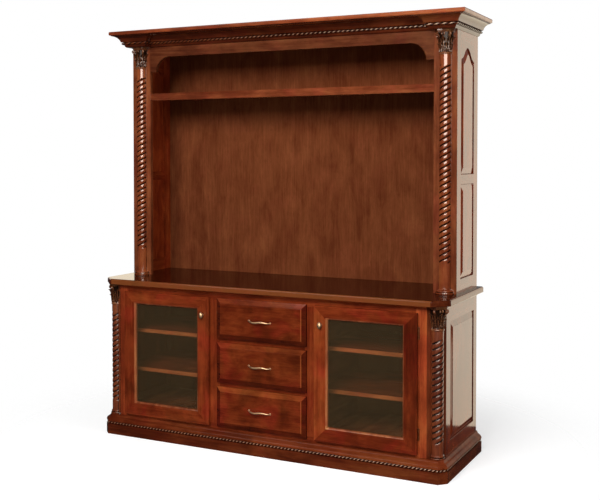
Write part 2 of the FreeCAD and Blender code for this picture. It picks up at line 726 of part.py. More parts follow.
def door_knob():
    """An upright oval on a short stem and a small rose."""
    centre = Vector(DOOR_IN_X + KNOB_FROM_EDGE, FRONT_Y, DOOR_Z1 - KNOB_BELOW_TOP)
    out = Vector(0, -1, 0)
    stretch = FreeCAD.Matrix()
    stretch.scale(KNOB_W / 2, KNOB_DEPTH / 2, KNOB_H / 2)
    head = Part.makeSphere(1).transformGeometry(stretch)
    head.translate(centre + out * KNOB_STEM_L)
    stem = Part.makeCylinder(KNOB_STEM_R, KNOB_STEM_L, centre, out)
    rose = Part.makeCylinder(KNOB_ROSE_R, KNOB_ROSE_T, centre, out)
    return fused([rose, stem, head])


def hinge_heights():
    return [DOOR_MID_Z - HINGE_SPREAD - HINGE_H / 2, DOOR_MID_Z + HINGE_SPREAD - HINGE_H / 2]


def hinge_leaf(plate, z0, z1):
    """One leaf: its plate and its knuckle in one piece, bored for the pin."""
    centre = Vector(HINGE_X, HINGE_Y, z0)
    barrel = Part.makeCylinder(BARREL_R, z1 - z0, centre)
    return fused([plate, barrel]).cut(Part.makeCylinder(HINGE_PIN_R + FIT, z1 - z0, centre))


def fixed_hinges():
    """Leaves on the face frame, with their pins."""
    pieces = []
    for z in hinge_heights():
        low = z + (HINGE_H - KNUCKLE_H) / 2
        high = low + KNUCKLE_H
        for z0, z1 in ((z, low), (high, z + HINGE_H)):
            plate = box(HINGE_X - LEAF_W, HINGE_X, FACE_Y - LEAF_T, FACE_Y, z0, z1)
            pieces.append(hinge_leaf(plate, z0, z1))
        centre = Vector(HINGE_X, HINGE_Y, z)
        heads = [
            Part.makeCylinder(HINGE_HEAD_R, HINGE_HEAD_H, centre - Vector(0, 0, HINGE_HEAD_H)),
            Part.makeCylinder(HINGE_HEAD_R, HINGE_HEAD_H, centre + Vector(0, 0, HINGE_H))]
        pieces.append(fused([Part.makeCylinder(HINGE_PIN_R, HINGE_H, centre)] + heads))
    return both(*pieces)


def moving_hinges():
    """The right door's leaves, and the strike plate for its catch."""
    pieces = []
    y1 = FACE_Y - DOOR_GAP
    for z in hinge_heights():
        low = z + (HINGE_H - KNUCKLE_H) / 2 + KNUCKLE_GAP
        high = low + KNUCKLE_H - 2 * KNUCKLE_GAP
        plate = box(HINGE_X - LEAF_W, HINGE_X, y1, y1 + LEAF_T, low, high)
        pieces.append(hinge_leaf(plate, low, high))
    x0 = OPENING_IN_X + OVERLAY / 2
    x1 = x0 + CATCH_W - OVERLAY
    pieces.append(box(x0, x1, y1, y1 + STRIKE_T, OPENING_TOP_Z - CATCH_H, OPENING_TOP_Z - EASE))
    return pieces


def door_catches():
    """Magnetic catches under the top rail, beside the mullions."""
    y0 = FACE_Y - DOOR_GAP + STRIKE_T + CATCH_GAP
    x0 = OPENING_IN_X
    return both(box(x0, x0 + CATCH_W, y0, y0 + CATCH_DEPTH, OPENING_TOP_Z - CATCH_H, OPENING_TOP_Z))


def arch_profile(y0, y1, low, shoulder, apex):
    """A panel outline with a cathedral top: short shoulders, hollow flanks and a round peak."""
    middle = (y0 + y1) / 2
    foot = y1 - ARCH_SHOULDER_W
    turn = (foot + middle) / 2
    half_rise = (shoulder + apex) / 2
    flank = [(foot, shoulder), (turn, half_rise), (middle, apex)]
    far = [(2 * middle - y, z) for y, z in reversed(flank[:2])]
    return [
        (y0, low), (y1, low), (y1, shoulder), flank[0],
        bowed(flank[0], flank[1], ARCH_SAG), bowed(flank[1], flank[2], -ARCH_SAG),
        bowed(flank[2], far[0], -ARCH_SAG), bowed(far[0], far[1], ARCH_SAG), (y0, shoulder)]


def hutch_panel_outlines():
    y0, y1 = HUTCH_Y + HUTCH_SIDE_STILE_W, BACK_Y - HUTCH_BACK_STILE_W
    lower = rectangle(y0, y1, TOP_HEIGHT + HUTCH_BOTTOM_RAIL_H, HUTCH_MID_RAIL_Z)
    upper = arch_profile(y0, y1, HUTCH_MID_RAIL_Z + HUTCH_MID_RAIL_H, SHOULDER_Z, SHOULDER_Z + ARCH_RISE)
    return lower, upper


def hutch_side_frame():
    """The right side's stiles and rails. The top rail is cut to the panel's arch."""
    front = HUTCH_Y + FRAME_T
    y0, y1 = HUTCH_Y + HUTCH_SIDE_STILE_W, BACK_Y - HUTCH_BACK_STILE_W
    low = TOP_HEIGHT + HUTCH_BOTTOM_RAIL_H
    mid = HUTCH_MID_RAIL_Z + HUTCH_MID_RAIL_H
    lower, upper = hutch_panel_outlines()
    arch = Part.Face(wire_of(upper, lambda a, b: Vector(a, b, 0))).extrude(Vector(0, 0, 2 * FRAME_T))
    bottom_rail = box(INNER_X, HALF, y0, y1, TOP_HEIGHT, low).cut(Part.Compound(dowels(FIT)))
    top_rail = box(INNER_X, HALF, y0, y1, SHOULDER_Z, CAP_Z).cut(to_right(arch, INNER_X - FRAME_T / 2))
    return [
        box(INNER_X, HALF, front, y0, TOP_HEIGHT, CAP_Z), box(INNER_X, HALF, y1, BACK_Y, TOP_HEIGHT, CAP_Z),
        bottom_rail, box(INNER_X, HALF, y0, y1, HUTCH_MID_RAIL_Z, mid), top_rail]


def hutch_side_panels():
    x = HALF + PANEL_PROUD - PANEL_FIELD_T
    return [to_right(raised_panel(outline, PANEL_BEVEL, PANEL_RIM_T, PANEL_FIELD_T, PANEL_STEP), x)
            for outline in hutch_panel_outlines()]


def hutch_stile():
    stile = box(HUTCH_STILE_X, HALF, HUTCH_Y, HUTCH_Y + FRAME_T, TOP_HEIGHT, CAP_Z)
    return eased(stile, [(1, HUTCH_Y), (0, HALF)])


def valance():
    """Board between the stiles, cut to a flat arch with round corners."""
    x1 = HUTCH_STILE_X
    x0 = x1 - VALANCE_FOOT_W
    radius = VALANCE_DROP
    bend = radius * (1 - math.sqrt(0.5))
    outline = [
        (-x1, CAP_Z), (-x1, VALANCE_FOOT_Z), (-x0, VALANCE_FOOT_Z),
        ((bend - x0, VALANCE_SOFFIT_Z - bend), (radius - x0, VALANCE_SOFFIT_Z)),
        (x0 - radius, VALANCE_SOFFIT_Z),
        ((x0 - bend, VALANCE_SOFFIT_Z - bend), (x0, VALANCE_FOOT_Z)), (x1, VALANCE_FOOT_Z), (x1, CAP_Z)]
    board = Part.Face(wire_of(outline, lambda a, b: Vector(a, b, 0))).extrude(Vector(0, 0, FRAME_T))
    return to_front(board, HUTCH_Y + FRAME_T)


def display_shelf():
    """A shelf board with a deeper edging between the stiles."""
    y0, y1 = HUTCH_Y + FRAME_T, PANEL_BACK_Y
    low = DISPLAY_SHELF_Z - DISPLAY_EDGE_H
    front = HUTCH_Y + DISPLAY_EDGE_SET_IN
    edging = box(-HUTCH_STILE_X, HUTCH_STILE_X, front, y0, low, DISPLAY_SHELF_Z)
    return [
        box(-INNER_X, INNER_X, y0, y1, DISPLAY_SHELF_Z - DISPLAY_SHELF_T, DISPLAY_SHELF_Z),
        eased(edging, [(1, front), (2, low), (2, DISPLAY_SHELF_Z)], 2 * EASE)]


def hutch_back_panel():
    panel = box(-INNER_X, INNER_X, PANEL_BACK_Y, BACK_Y, TOP_HEIGHT, CAP_Z)
    return panel.cut(cable_hole(INNER_X - CABLE_HOLE_INSET, TOP_HEIGHT + CABLE_HOLE_INSET))


def dowels(play=0.0):
    """Two dowels a side, from the console top up into the hutch's bottom rails."""
    x = HALF - FRAME_T / 2
    z0 = TOP_HEIGHT - DOWEL_IN_TOP - play
    length = DOWEL_IN_TOP + DOWEL_IN_RAIL + 2 * play
    places = (HUTCH_Y + DOWEL_INSET, BACK_Y - DOWEL_INSET)
    return both(*[Part.makeCylinder(DOWEL_R + play, length, Vector(x, y, z0)) for y in places])


def crown():
    """Moulding and rope round the hutch, breaking forward over the columns, under a straight cap."""
    front = HUTCH_Y - CROWN_BREAK
    path = [(-HALF, BACK_Y), (-HALF, front), (-HUTCH_STILE_X, front), (-HUTCH_STILE_X, HUTCH_Y),
            (HUTCH_STILE_X, HUTCH_Y), (HUTCH_STILE_X, front), (HALF, front), (HALF, BACK_Y)]
    z0 = CROWN_BOTTOM_Z
    bead_z = z0 + CROWN_BEAD_H
    seat = CROWN_BEAD_OUT + CROWN_FILLET
    rope_z = bead_z + CROWN_FILLET
    cove_z = rope_z + ROPE_D + CROWN_FILLET
    lip_z = CAP_Z - COVE_LIP
    bead = [(CROWN_BEAD_FOOT, z0), (CROWN_BEAD_OUT, bead_z)]
    cove = [(COVE_START_OUT, cove_z), (COVE_OUT, lip_z)]
    moulding = [
        (0, z0), bead[0], bowed(bead[0], bead[1], -CROWN_BEAD_SWELL), (seat, rope_z), (seat, rope_z + ROPE_D),
        cove[0], bowed(cove[0], cove[1], COVE_SAG), (COVE_OUT, CAP_Z), (0, CAP_Z)]
    block = box(HUTCH_STILE_X, HALF, front, HUTCH_Y, z0, CAP_Z)
    x = HALF + CAP_OUT
    cap = box(-x, x, front - CAP_OUT, BACK_Y, CAP_Z, TOTAL_HEIGHT)
    edges = [e for e in cap.Edges if not on_plane(e, 1, BACK_Y)
             and (on_plane(e, 2, CAP_Z) or on_plane(e, 2, TOTAL_HEIGHT))]
    return {
        "crown_moulding": mitred_run(path, moulding),
        "crown_rope": mitred_run(path, half_round(seat, rope_z, ROPE_D)),
        "crown_blocks": both(block),
        "crown_cap": [cap.makeFillet(CAP_ROUND, edges)],
    }


def columns():
    base_neck = CASE_TOP_Z - BASE_CAPITAL_H
    hutch_neck = CROWN_BOTTOM_Z - HUTCH_CAPITAL_H
    low = half_column(BASE_FOOT_R, BASE_PLAIN_LOW, BASE_PLAIN_HIGH, LEDGE_Z, base_neck)
    high = half_column(HUTCH_FOOT_R, HUTCH_PLAIN_LOW, HUTCH_PLAIN_HIGH, TOP_HEIGHT, hutch_neck)
    low_capital = half_capital(BASE_CAPITAL_H, CASE_TOP_Z)
    high_capital = half_capital(HUTCH_CAPITAL_H, CROWN_BOTTOM_Z)
    return {
        "base_left_column": [on_cant(shape, -1) for shape in low],
        "base_right_column": [on_cant(shape, 1) for shape in low],
        "base_capitals": [on_cant(low_capital, -1), on_cant(low_capital, 1)],
        "hutch_left_column": [moved(shape, -COLUMN_X, HUTCH_Y) for shape in high],
        "hutch_right_column": [moved(shape, COLUMN_X, HUTCH_Y) for shape in high],
        "hutch_capitals": [moved(high_capital, side * COLUMN_X, HUTCH_Y) for side in (-1, 1)],
    }


def doors():
    right = {
        "frame": door_frame(), "glass": [door_glass()], "beads": door_beads(), "knob": [door_knob()],
        "hinge_leaves": moving_hinges()}
    nodes = {}
    for name, shapes in right.items():
        nodes["left_door_" + name] = [mirrored(shape) for shape in shapes]
        nodes["right_door_" + name] = shapes
    return nodes


def drawers():
    nodes = {}
    for i in range(DRAWER_COUNT):
        z0 = DOOR_Z0 + i * DRAWER_PITCH
        name = f"drawer_{i + 1}_"
        nodes[name + "front"] = [drawer_front(z0)]
        nodes[name + "box"] = drawer_box(z0)
        nodes[name + "pull"] = [drawer_pull(z0 + DRAWER_H / 2)]
    return nodes


def all_nodes():
    side_frame = base_side_frame()
    hutch_frame = hutch_side_frame()
    nodes = plinth()
    nodes.update(face_frame())
    nodes.update({
        "corner_blocks": corner_blocks(), "corner_posts": corner_posts(), "deck": [deck()],
        "base_left_side_frame": [mirrored(board) for board in side_frame],
        "base_right_side_frame": side_frame,
        "base_side_panels": both(base_side_panel()), "partitions": both(partition()),
        "base_back_panels": base_back_panels(), "console_top": [console_top()],
        "top_moulding": top_moulding(), "adjustable_shelves": adjustable_shelves(),
        "shelf_pins": shelf_pins(), "drawer_runners": drawer_runners(), "drawer_guides": drawer_guides(),
        "fixed_hinge_leaves": fixed_hinges(), "door_catches": door_catches(),
        "hutch_left_side_frame": [mirrored(board) for board in hutch_frame],
        "hutch_right_side_frame": hutch_frame,
        "hutch_side_panels": both(*hutch_side_panels()), "hutch_stiles": both(hutch_stile()),
        "valance": [valance()], "display_shelf": display_shelf(), "hutch_back_panel": [hutch_back_panel()],
        "hutch_dowels": dowels()})
    nodes.update(columns())
    nodes.update(crown())
    nodes.update(doors())
    nodes.update(drawers())
    return nodes


os.makedirs("parts", exist_ok=True)
for node, shapes in all_nodes().items():
    shape = shapes[0] if len(shapes) == 1 else Part.makeCompound(shapes)
    shape.exportStep(f"parts/{node}.step")
    volume = shape.Volume / 1000
    print(f"{node}: {len(shape.Solids)} solids, valid {shape.isValid()}, volume {volume:.1f} cm3")
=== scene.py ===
# %% [markdown]
# # A cherry television armoire
# The cabinet is two pieces of furniture in one: a low base with glazed doors and drawers, and a hutch that
# frames one wide bay. The packed model already holds every board at its real size, so this notebook only
# dresses it: lacquered wood for the boards, carved meshes where a machined part would look too plain, then
# light and a camera.

# %% Load the frame
import math
import bpy
from mathutils import Matrix, Vector


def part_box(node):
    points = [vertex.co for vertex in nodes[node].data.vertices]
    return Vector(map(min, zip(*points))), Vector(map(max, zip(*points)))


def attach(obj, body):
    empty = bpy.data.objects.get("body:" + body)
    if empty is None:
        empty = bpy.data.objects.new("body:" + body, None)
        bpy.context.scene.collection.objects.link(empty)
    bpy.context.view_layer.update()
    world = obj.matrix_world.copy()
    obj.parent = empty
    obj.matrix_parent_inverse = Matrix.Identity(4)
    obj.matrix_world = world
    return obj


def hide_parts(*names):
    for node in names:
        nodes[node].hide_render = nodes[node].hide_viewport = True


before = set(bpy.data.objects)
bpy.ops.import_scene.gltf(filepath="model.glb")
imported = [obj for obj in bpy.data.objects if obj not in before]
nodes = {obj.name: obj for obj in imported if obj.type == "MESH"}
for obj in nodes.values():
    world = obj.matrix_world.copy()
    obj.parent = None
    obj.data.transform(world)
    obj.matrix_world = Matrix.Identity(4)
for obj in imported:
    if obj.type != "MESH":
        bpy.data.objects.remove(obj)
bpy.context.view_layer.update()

# %% [markdown]
# ## Camera
# The upright lines of the cabinet stay almost parallel in the picture, as they do through a lens that is
# shifted and not tilted. A pure shift would do it, but it would push other views out of the frame. A small
# tilt and a moderate shift together give the same picture, and keep the other views whole.

# %% Place the camera
PHOTO_WIDTH_PX = 600
FOCAL_PX = 970.5
SENSOR_MM = 36.0
LENS_SHIFT = -0.11
CAMERA_PLACE = (2.2410, -4.3132, 1.4397)
CAMERA_TURN = math.radians(26.56)
CAMERA_TILT = math.radians(1.61)

lens = bpy.data.cameras.new("camera")
lens.sensor_width = SENSOR_MM
lens.lens = FOCAL_PX * SENSOR_MM / PHOTO_WIDTH_PX
lens.shift_y = LENS_SHIFT
camera = bpy.data.objects.new("camera", lens)
camera.location = CAMERA_PLACE
camera.rotation_euler = (math.pi / 2 - CAMERA_TILT, 0, CAMERA_TURN)
bpy.context.scene.collection.objects.link(camera)
bpy.context.scene.camera = camera
print("lens", round(lens.lens, 2), "mm")

# %% [markdown]
# ## Shader maths as Python
# A finish is a tree of small nodes. Wiring them by hand hides the idea, so an output socket is wrapped in a
# class whose operators add Math nodes: `1 - mask` then reads as it does on paper. Every other node comes
# from one method, `add`.

# %% A socket that can be used in sums
class Field:
    def __init__(self, finish, socket):
        self.finish = finish
        self.socket = socket

    def beside(self, name):
        """Another output of the same node."""
        return Field(self.finish, self.socket.node.outputs[name])

    def math(self, operation, *sides):
        return self.finish.add("ShaderNodeMath", {"operation": operation}, dict(enumerate(sides)))

    def __add__(self, other):
        return self.math("ADD", self, other)

    def __sub__(self, other):
        return self.math("SUBTRACT", self, other)

    def __rsub__(self, other):
        return self.math("SUBTRACT", other, self)

    def __mul__(self, other):
        return self.math("MULTIPLY", self, other)

    def __pow__(self, other):
        return self.math("POWER", self, other)

    def __gt__(self, other):
        return self.math("GREATER_THAN", self, other)

    def __lt__(self, other):
        return self.math("LESS_THAN", self, other)

    def __abs__(self):
        return self.math("ABSOLUTE", self)

    __radd__ = __add__
    __rmul__ = __mul__


print("operators", [name for name in vars(Field) if name.startswith("__") and name != "__init__"])


# %% A finish with its Principled shader
class Finish:
    def __init__(self, name, owner=None):
        self.owner = owner or bpy.data.materials.new(name)
        self.owner.use_nodes = True
        self.tree = self.owner.node_tree
        self.shader = self.tree.nodes.get("Principled BSDF")

    def add(self, kind, settings=None, sockets=None, out=0):
        """One node: settings first, then socket values or links. Out names or numbers the output."""
        node = self.tree.nodes.new(kind)
        for name, value in (settings or {}).items():
            if name == "stops":
                self.set_stops(node.color_ramp, value)
            else:
                setattr(node, name, value)
        self.fill(node, sockets or {})
        return Field(self, node.outputs[out])

    def fill(self, node, sockets):
        for name, value in sockets.items():
            if isinstance(value, Field):
                self.tree.links.new(value.socket, node.inputs[name])
            else:
                node.inputs[name].default_value = value

    def set_stops(self, ramp, stops):
        while len(ramp.elements) < len(stops):
            ramp.elements.new(1.0)
        for element, (place, colour) in zip(ramp.elements, stops):
            element.position = place
            element.color = (*colour, 1.0)

    def surface(self, **sockets):
        self.fill(self.shader, {name.replace("_", " "): value for name, value in sockets.items()})
        return self.owner

    def place(self):
        """The x, y and z of a point in the frame, in metres."""
        spot = self.add("ShaderNodeTexCoord", out="Object")
        first = self.add("ShaderNodeSeparateXYZ", sockets={0: spot})
        return [first.beside(i) for i in range(3)]

    def vector(self, x, y, z):
        return self.add("ShaderNodeCombineXYZ", sockets={0: x, 1: y, 2: z})

    def noise(self, where, scale, detail=2.0, rough=0.5, bend=0.0):
        return self.add("ShaderNodeTexNoise", {"noise_dimensions": "3D"}, {
            "Vector": where, "Scale": scale, "Detail": detail, "Roughness": rough, "Distortion": bend})

    def ramp(self, factor, *stops):
        return self.add("ShaderNodeValToRGB", {"stops": stops}, {0: factor})

    def spread(self, value, low, high):
        """Maps low to 0 and high to 1, held between them, with soft ends."""
        return self.add("ShaderNodeMapRange", {"interpolation_type": "SMOOTHSTEP"},
                        {"Value": value, "From Min": low, "From Max": high})

    def blend(self, factor, first, second, mode="MIX"):
        return self.add("ShaderNodeMix", {"data_type": "RGBA", "blend_type": mode},
                        {0: factor, 6: first, 7: second}, out=2)

    def bump(self, height, depth, strength):
        return self.add("ShaderNodeBump",
                        sockets={"Strength": strength, "Distance": depth, "Height": height})


print("shader helpers ready")

# %% [markdown]
# ## Cherry under lacquer
# Cherry is close-grained: long soft streaks, fine lines, a tick of pores, and blots where the stain took
# unevenly. A picture of veneer could be laid on, but it would not turn with each board. Noise that is
# stretched along the board does, so the one thing a board must say is which way its grain runs. The layers
# add up to a depth that picks a shade of stain, and large ruddy and smoky patches tint the result. The
# lacquer on top is a thin clear coat, glossier than the wood below it.

# %% Shades of stain
CHERRY_SHADES = [
    (0.058, 0.0068, 0.0019),
    (0.125, 0.0165, 0.0042),
    (0.210, 0.0335, 0.0082),
    (0.350, 0.0790, 0.0180)]
SHADE_STOPS = [0.28, 0.44, 0.56, 0.78]
BROWN_SHIFT = (-0.10, 0.55, 1.2)


def stains(tone, brown):
    """Four shades from dark to light. Tone below 1 darkens them, and brown takes them away from red."""
    tint = [tone * (1 + shift * brown) for shift in BROWN_SHIFT]
    return [tuple(part * by for part, by in zip(shade, tint)) for shade in CHERRY_SHADES]


print("plain cherry, light", [round(part, 3) for part in stains(1.0, 0.0)[-1]])

# %% Layers of grain
X, Y, Z = 0, 1, 2
GRAIN_SHRINK = 0.05
BLOT_SHRINK = 0.45
STREAK_SIZE = 26.0
LINE_SIZE = 170.0
PORE_SIZE = 700.0
BLOT_SIZE = 13.0


def stretched(finish, spot, along, shrink):
    """The place, shrunk along the grain, so that noise there is drawn out into streaks."""
    return finish.vector(*[spot[i] * shrink if i == along else spot[i] for i in range(3)])


def wood_layers(finish, spot, along, crossing=None, blot_size=BLOT_SIZE):
    """Streaks, fine lines, pores and blots, each from 0 to 1, and how much lighter the board is."""
    grain = stretched(finish, spot, along, GRAIN_SHRINK)
    cloud = stretched(finish, spot, along, BLOT_SHRINK)
    lighter = 0.0
    if crossing:
        across, other, lighter = crossing(spot)
        grain = finish.blend(across, grain, stretched(finish, spot, other, GRAIN_SHRINK))
        cloud = finish.blend(across, cloud, stretched(finish, spot, other, BLOT_SHRINK))
    streaks = finish.noise(grain, STREAK_SIZE, 4.0, 0.6, 1.0)
    lines = finish.noise(grain, LINE_SIZE, 2.0, 0.6)
    pores = finish.spread(finish.noise(grain, PORE_SIZE, 1.0), 0.60, 0.72)
    blots = finish.noise(cloud, blot_size, 4.0, 0.62, 0.4)
    return streaks, lines, pores, blots, lighter


print("grain is", 1 / GRAIN_SHRINK, "times as long as wide")

# %% Stain and lacquer
LINE_SHARE = 0.16
PATCH_SIZE = 7.0
RUDDY = (1.20, 0.84, 1.18, 1.0)
SMOKY = (0.70, 0.78, 0.74, 1.0)
PORE_STAIN = 0.4
WOOD_ROUGH = 0.40
COAT_ROUGH = 0.10
SHINE = 0.9


def lacquered(name, along, crossing=None, tone=1.0, brown=0.0, gloss=SHINE, streaky=0.40, cloudy=0.50,
              blot_size=BLOT_SIZE, patchy=0.4, edge=None):
    """Stained and lacquered cherry. Edge says where a board is lighter, gloss may say where it shines."""
    finish = Finish(name)
    spot = finish.place()
    streaks, lines, pores, blots, lighter = wood_layers(finish, spot, along, crossing, blot_size)
    middle = 0.5 - (streaky + LINE_SHARE + cloudy) / 2
    depth = streaks * streaky + lines * LINE_SHARE + blots * cloudy + (middle + lighter)
    if edge:
        depth = depth + edge(spot)
    shades = stains(tone, brown)
    stain = finish.ramp(depth, *zip(SHADE_STOPS, shades))
    stain = finish.blend(pores * PORE_STAIN, stain, (*shades[0], 1.0))
    patch = finish.noise(finish.vector(*spot), PATCH_SIZE, 3.0, 0.55, 0.6)
    stain = finish.blend(finish.spread(patch, 0.50, 0.66) * patchy, stain, RUDDY, "MULTIPLY")
    stain = finish.blend(finish.spread(1 - patch, 0.52, 0.68) * patchy, stain, SMOKY, "MULTIPLY")
    if callable(gloss):
        gloss = gloss(spot)
    return finish.surface(
        Base_Color=stain, Roughness=lines * 0.10 + WOOD_ROUGH, Specular_IOR_Level=0.0, Coat_Weight=gloss,
        Coat_Roughness=COAT_ROUGH, Normal=finish.bump(lines - pores * 0.5, 0.00010, 0.2))


print("the coat is", WOOD_ROUGH / COAT_ROUGH, "times as smooth as the wood")


# %% Plain boards, and the nodes that are carved further on
def dress(material, *names):
    """Gives nodes their finish."""
    for name in names:
        nodes[name].data.materials.clear()
        nodes[name].data.materials.append(material)
    print(material.name, "on", *names)


dress(lacquered("cherry_across", X), "face_frame_rails", "drawer_rails", "top_moulding")
dress(lacquered("cherry_upright", Z), "face_frame_mullions", "base_left_column", "base_right_column",
      "hutch_left_column", "hutch_right_column", "base_capitals", "hutch_capitals", "plinth_rope",
      "crown_rope")

# %% [markdown]
# ## Plinth, crown and top
# The boards were stained one by one, so the plinth and the crown came out darker than the doors. A long
# board is paler towards its right end, which is painted light, and the crown is darker under its rope, which
# is painted shade. Each could have painted textures, but a tone, a touch of brown and a small slope along x
# say the same in one line. The top board's face is painted dark and its clipped corners darker, both painted
# shade, while its moulded edge stays paler. Nobody polishes the top of the crown.

# %% Slopes and steps of tone
SKIN = 0.0006
# How far in from a clipped corner the painted shade reaches.
CLIP_REACH = 0.008
# Painted shade under the crown's rope.
UNDER_SHADE = 0.08
EDGE_LIGHT = 0.34
# Painted shade on the top board's face and at its clipped corners.
FACE_SHADE = 0.90
CLIP_SHADE = 0.40


def painted_light_to_right(by):
    """A painted light: paler towards the right end, by an amount for each metre."""
    return lambda spot: spot[X] * by


def lit_right_shaded_below(level, by):
    """Paler towards the right end, a painted light, and darker under the rope, a painted shade."""
    return lambda spot: spot[X] * by - (spot[Z] < level) * UNDER_SHADE


def dull_above(level):
    """Lacquer up to a level, bare wood on it."""
    return lambda spot: (spot[Z] < level - SKIN) * SHINE


def top_is_dark(board):
    """A pale edge round a face darkened by painted shade, and painted shade at the clipped corners."""
    points = [point.co for point in board.data.vertices]
    level = max(point.z for point in points)
    clipped = max(abs(point.x) - point.y for point in points)

    def edge(spot):
        corner = abs(spot[X]) - spot[Y] > clipped - CLIP_REACH
        return EDGE_LIGHT - (spot[Z] > level - SKIN) * FACE_SHADE - corner * CLIP_SHADE
    return edge


print("a face is found within", SKIN, "m")

# %% Dress the base's front and the top
dress(lacquered("plinth_cherry", X, tone=0.52, brown=0.25, edge=painted_light_to_right(0.06)),
      "plinth_boards", "corner_blocks")
dress(lacquered("ledge_cherry", X, tone=0.75, brown=0.3, gloss=0.2, edge=painted_light_to_right(0.06)),
      "plinth_moulding")
dress(lacquered("post_cherry", Z, tone=0.8, brown=0.5), "corner_posts")
dress(lacquered("stile_cherry", Z, tone=1.5, brown=0.15, edge=painted_light_to_right(0.07)), "face_frame_stiles")
top_edge = top_is_dark(nodes["console_top"])
dress(lacquered("console_cherry", X, tone=0.5, brown=0.3, gloss=0.75, edge=top_edge), "console_top")

# %% Dress the hutch's front
cap_gloss = dull_above(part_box("crown_cap")[1].z)
dress(lacquered("crown_cap_cherry", X, tone=1.5, brown=0.6, gloss=cap_gloss, edge=painted_light_to_right(0.08)),
      "crown_cap")
crown_edge = lit_right_shaded_below(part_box("crown_rope")[1].z, 0.08)
dress(lacquered("crown_cherry", X, tone=0.55, brown=0.4, edge=crown_edge), "crown_moulding", "crown_blocks")
dress(lacquered("valance_cherry", X, tone=0.72, brown=1.0, edge=painted_light_to_right(0.04)), "valance")
dress(lacquered("display_cherry", X, tone=1.15, brown=0.75, edge=painted_light_to_right(0.08)), "display_shelf")
dress(lacquered("hutch_stile_cherry", Z, tone=1.08, brown=0.9), "hutch_stiles")

# %% [markdown]
# ## Doors
# A door frame is four boards that meet in mitres. It is one node, so the boards could be cut apart, but the
# shader can also tell them apart: a point belongs to a rail where it is nearer to the top or bottom of the
# frame than to a side. There the grain turns, and each board gets a lightness of its own. The right stile of
# the right door grows darker upward. The bead round the glass is painted paler at the left and below, a
# painted highlight where its slopes face the light.

# %% Mitred frames and their beads
BEAD_WIDE = 0.016
BEAD_DARK = 0.10
DOOR_TONE = 0.95


def mitred_crossing(door, left, right, top, bottom, upward_darkening):
    """Where the grain turns, and how much lighter each board is. The last argument darkens the right stile
    upward.
    """
    low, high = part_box(door + "_frame")
    middle = (low + high) / 2
    reach = (high - low) / 2

    def crossing(spot):
        from_stile = reach.x - abs(spot[X] - middle.x)
        from_rail = reach.z - abs(spot[Z] - middle.z)
        rail = from_rail < from_stile
        over = spot[Z] > middle.z
        aside = spot[X] > middle.x
        upright = aside * (right - left - (spot[Z] - middle.z) * upward_darkening) + left
        level = over * (top - bottom) + bottom
        return rail, X, rail * level + (1 - rail) * upright
    return crossing


def bead_highlights(low, upright, level):
    """Dark beads, with a painted highlight on the left one and the lower one."""
    left = low.x + BEAD_WIDE
    under = low.z + BEAD_WIDE
    return lambda spot: (spot[X] < left) * upright + (spot[Z] < under) * level - BEAD_DARK


print("beads", BEAD_WIDE, "m wide")

# %% Dress the doors
DOORS = {
    # Each door lists its board lightnesses, the last of them how much the right stile darkens upward, then
    # the painted highlight on its left and lower bead.
    "left_door": {"boards": (-0.04, 0.0, 0.03, -0.04, 0.0), "bead": (0.14, 0.02)},
    "right_door": {"boards": (0.06, -0.11, -0.06, -0.07, 0.25), "bead": (0.18, 0.14)}}
for door, shades in DOORS.items():
    crossing = mitred_crossing(door, *shades["boards"])
    dress(lacquered(door + "_cherry", Z, crossing, DOOR_TONE, patchy=0.9), door + "_frame")
    edge = bead_highlights(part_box(door + "_beads")[0], *shades["bead"])
    dress(lacquered(door + "_bead_cherry", Z, tone=1.7, brown=1.1, edge=edge), door + "_beads")

# %% [markdown]
# ## Sides
# The sides are frames too, but their rails butt against the stiles, so the grain turns over the depth of the
# panel inside. One crossing for each frame says so, where separate boards would need a mesh each. Only the
# outer faces were rubbed to a gloss: inside the bay a shiny wall would mirror the light of the cable hole.
# The panels are calmer boards than the rest.

# %% Dress the sides
OUTER_FACE = 0.004
PANEL_FACE = 0.013


def side_crossing(panels):
    """Rails lie over the depth of the panels, stiles in front of them and behind them."""
    low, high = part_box(panels)
    return lambda spot: ((spot[Y] > low.y) * (spot[Y] < high.y), Y, 0.0)


def outside_only(node, deep):
    """Lacquer on faces that lie further out than a depth under the outermost one."""
    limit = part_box(node)[1].x - deep
    return lambda spot: (abs(spot[X]) > limit) * SHINE


for part, tone in (("base", 0.9), ("hutch", 1.2)):
    gloss = outside_only(part + "_right_side_frame", OUTER_FACE)
    side = lacquered(part + "_side_cherry", Z, side_crossing(part + "_side_panels"), tone, gloss=gloss)
    dress(side, part + "_left_side_frame", part + "_right_side_frame")
panel_gloss = outside_only("hutch_side_panels", PANEL_FACE)
dress(lacquered("hutch_panel_cherry", Z, tone=1.5, gloss=panel_gloss, streaky=0.2, patchy=0.1),
      "hutch_side_panels")
dress(lacquered("base_panel_cherry", Z, tone=0.9, streaky=0.15, patchy=0.1), "base_side_panels")

# %% [markdown]
# ## Drawer fronts
# A raised front has a bevel on all four sides. The ends drank more stain. The lower bevel is darker, a
# painted shade, the upper bevel paler, a painted light that is strongest on the top drawer, and the arris at
# the right carries a painted highlight. The model has the bevels as faces, so they could get materials of
# their own. Measuring the distance to the nearest edge needs no selection of faces, and fits all three
# fronts.

# %% Dress the drawer fronts
DRAWER_BEVEL = 0.024
ARRIS = 0.0022
END_DARK = 0.15
# Painted shade on the lower bevels, a painted highlight on the arris at the right, and painted light on the
# upper bevels, most on the top drawer.
LOWER_PAINTED_SHADE = 0.13
ARRIS_HIGHLIGHT = 0.42
UPPER_PAINTED_LIGHT = {"drawer_1": 0.17, "drawer_2": 0.09, "drawer_3": 0.05}


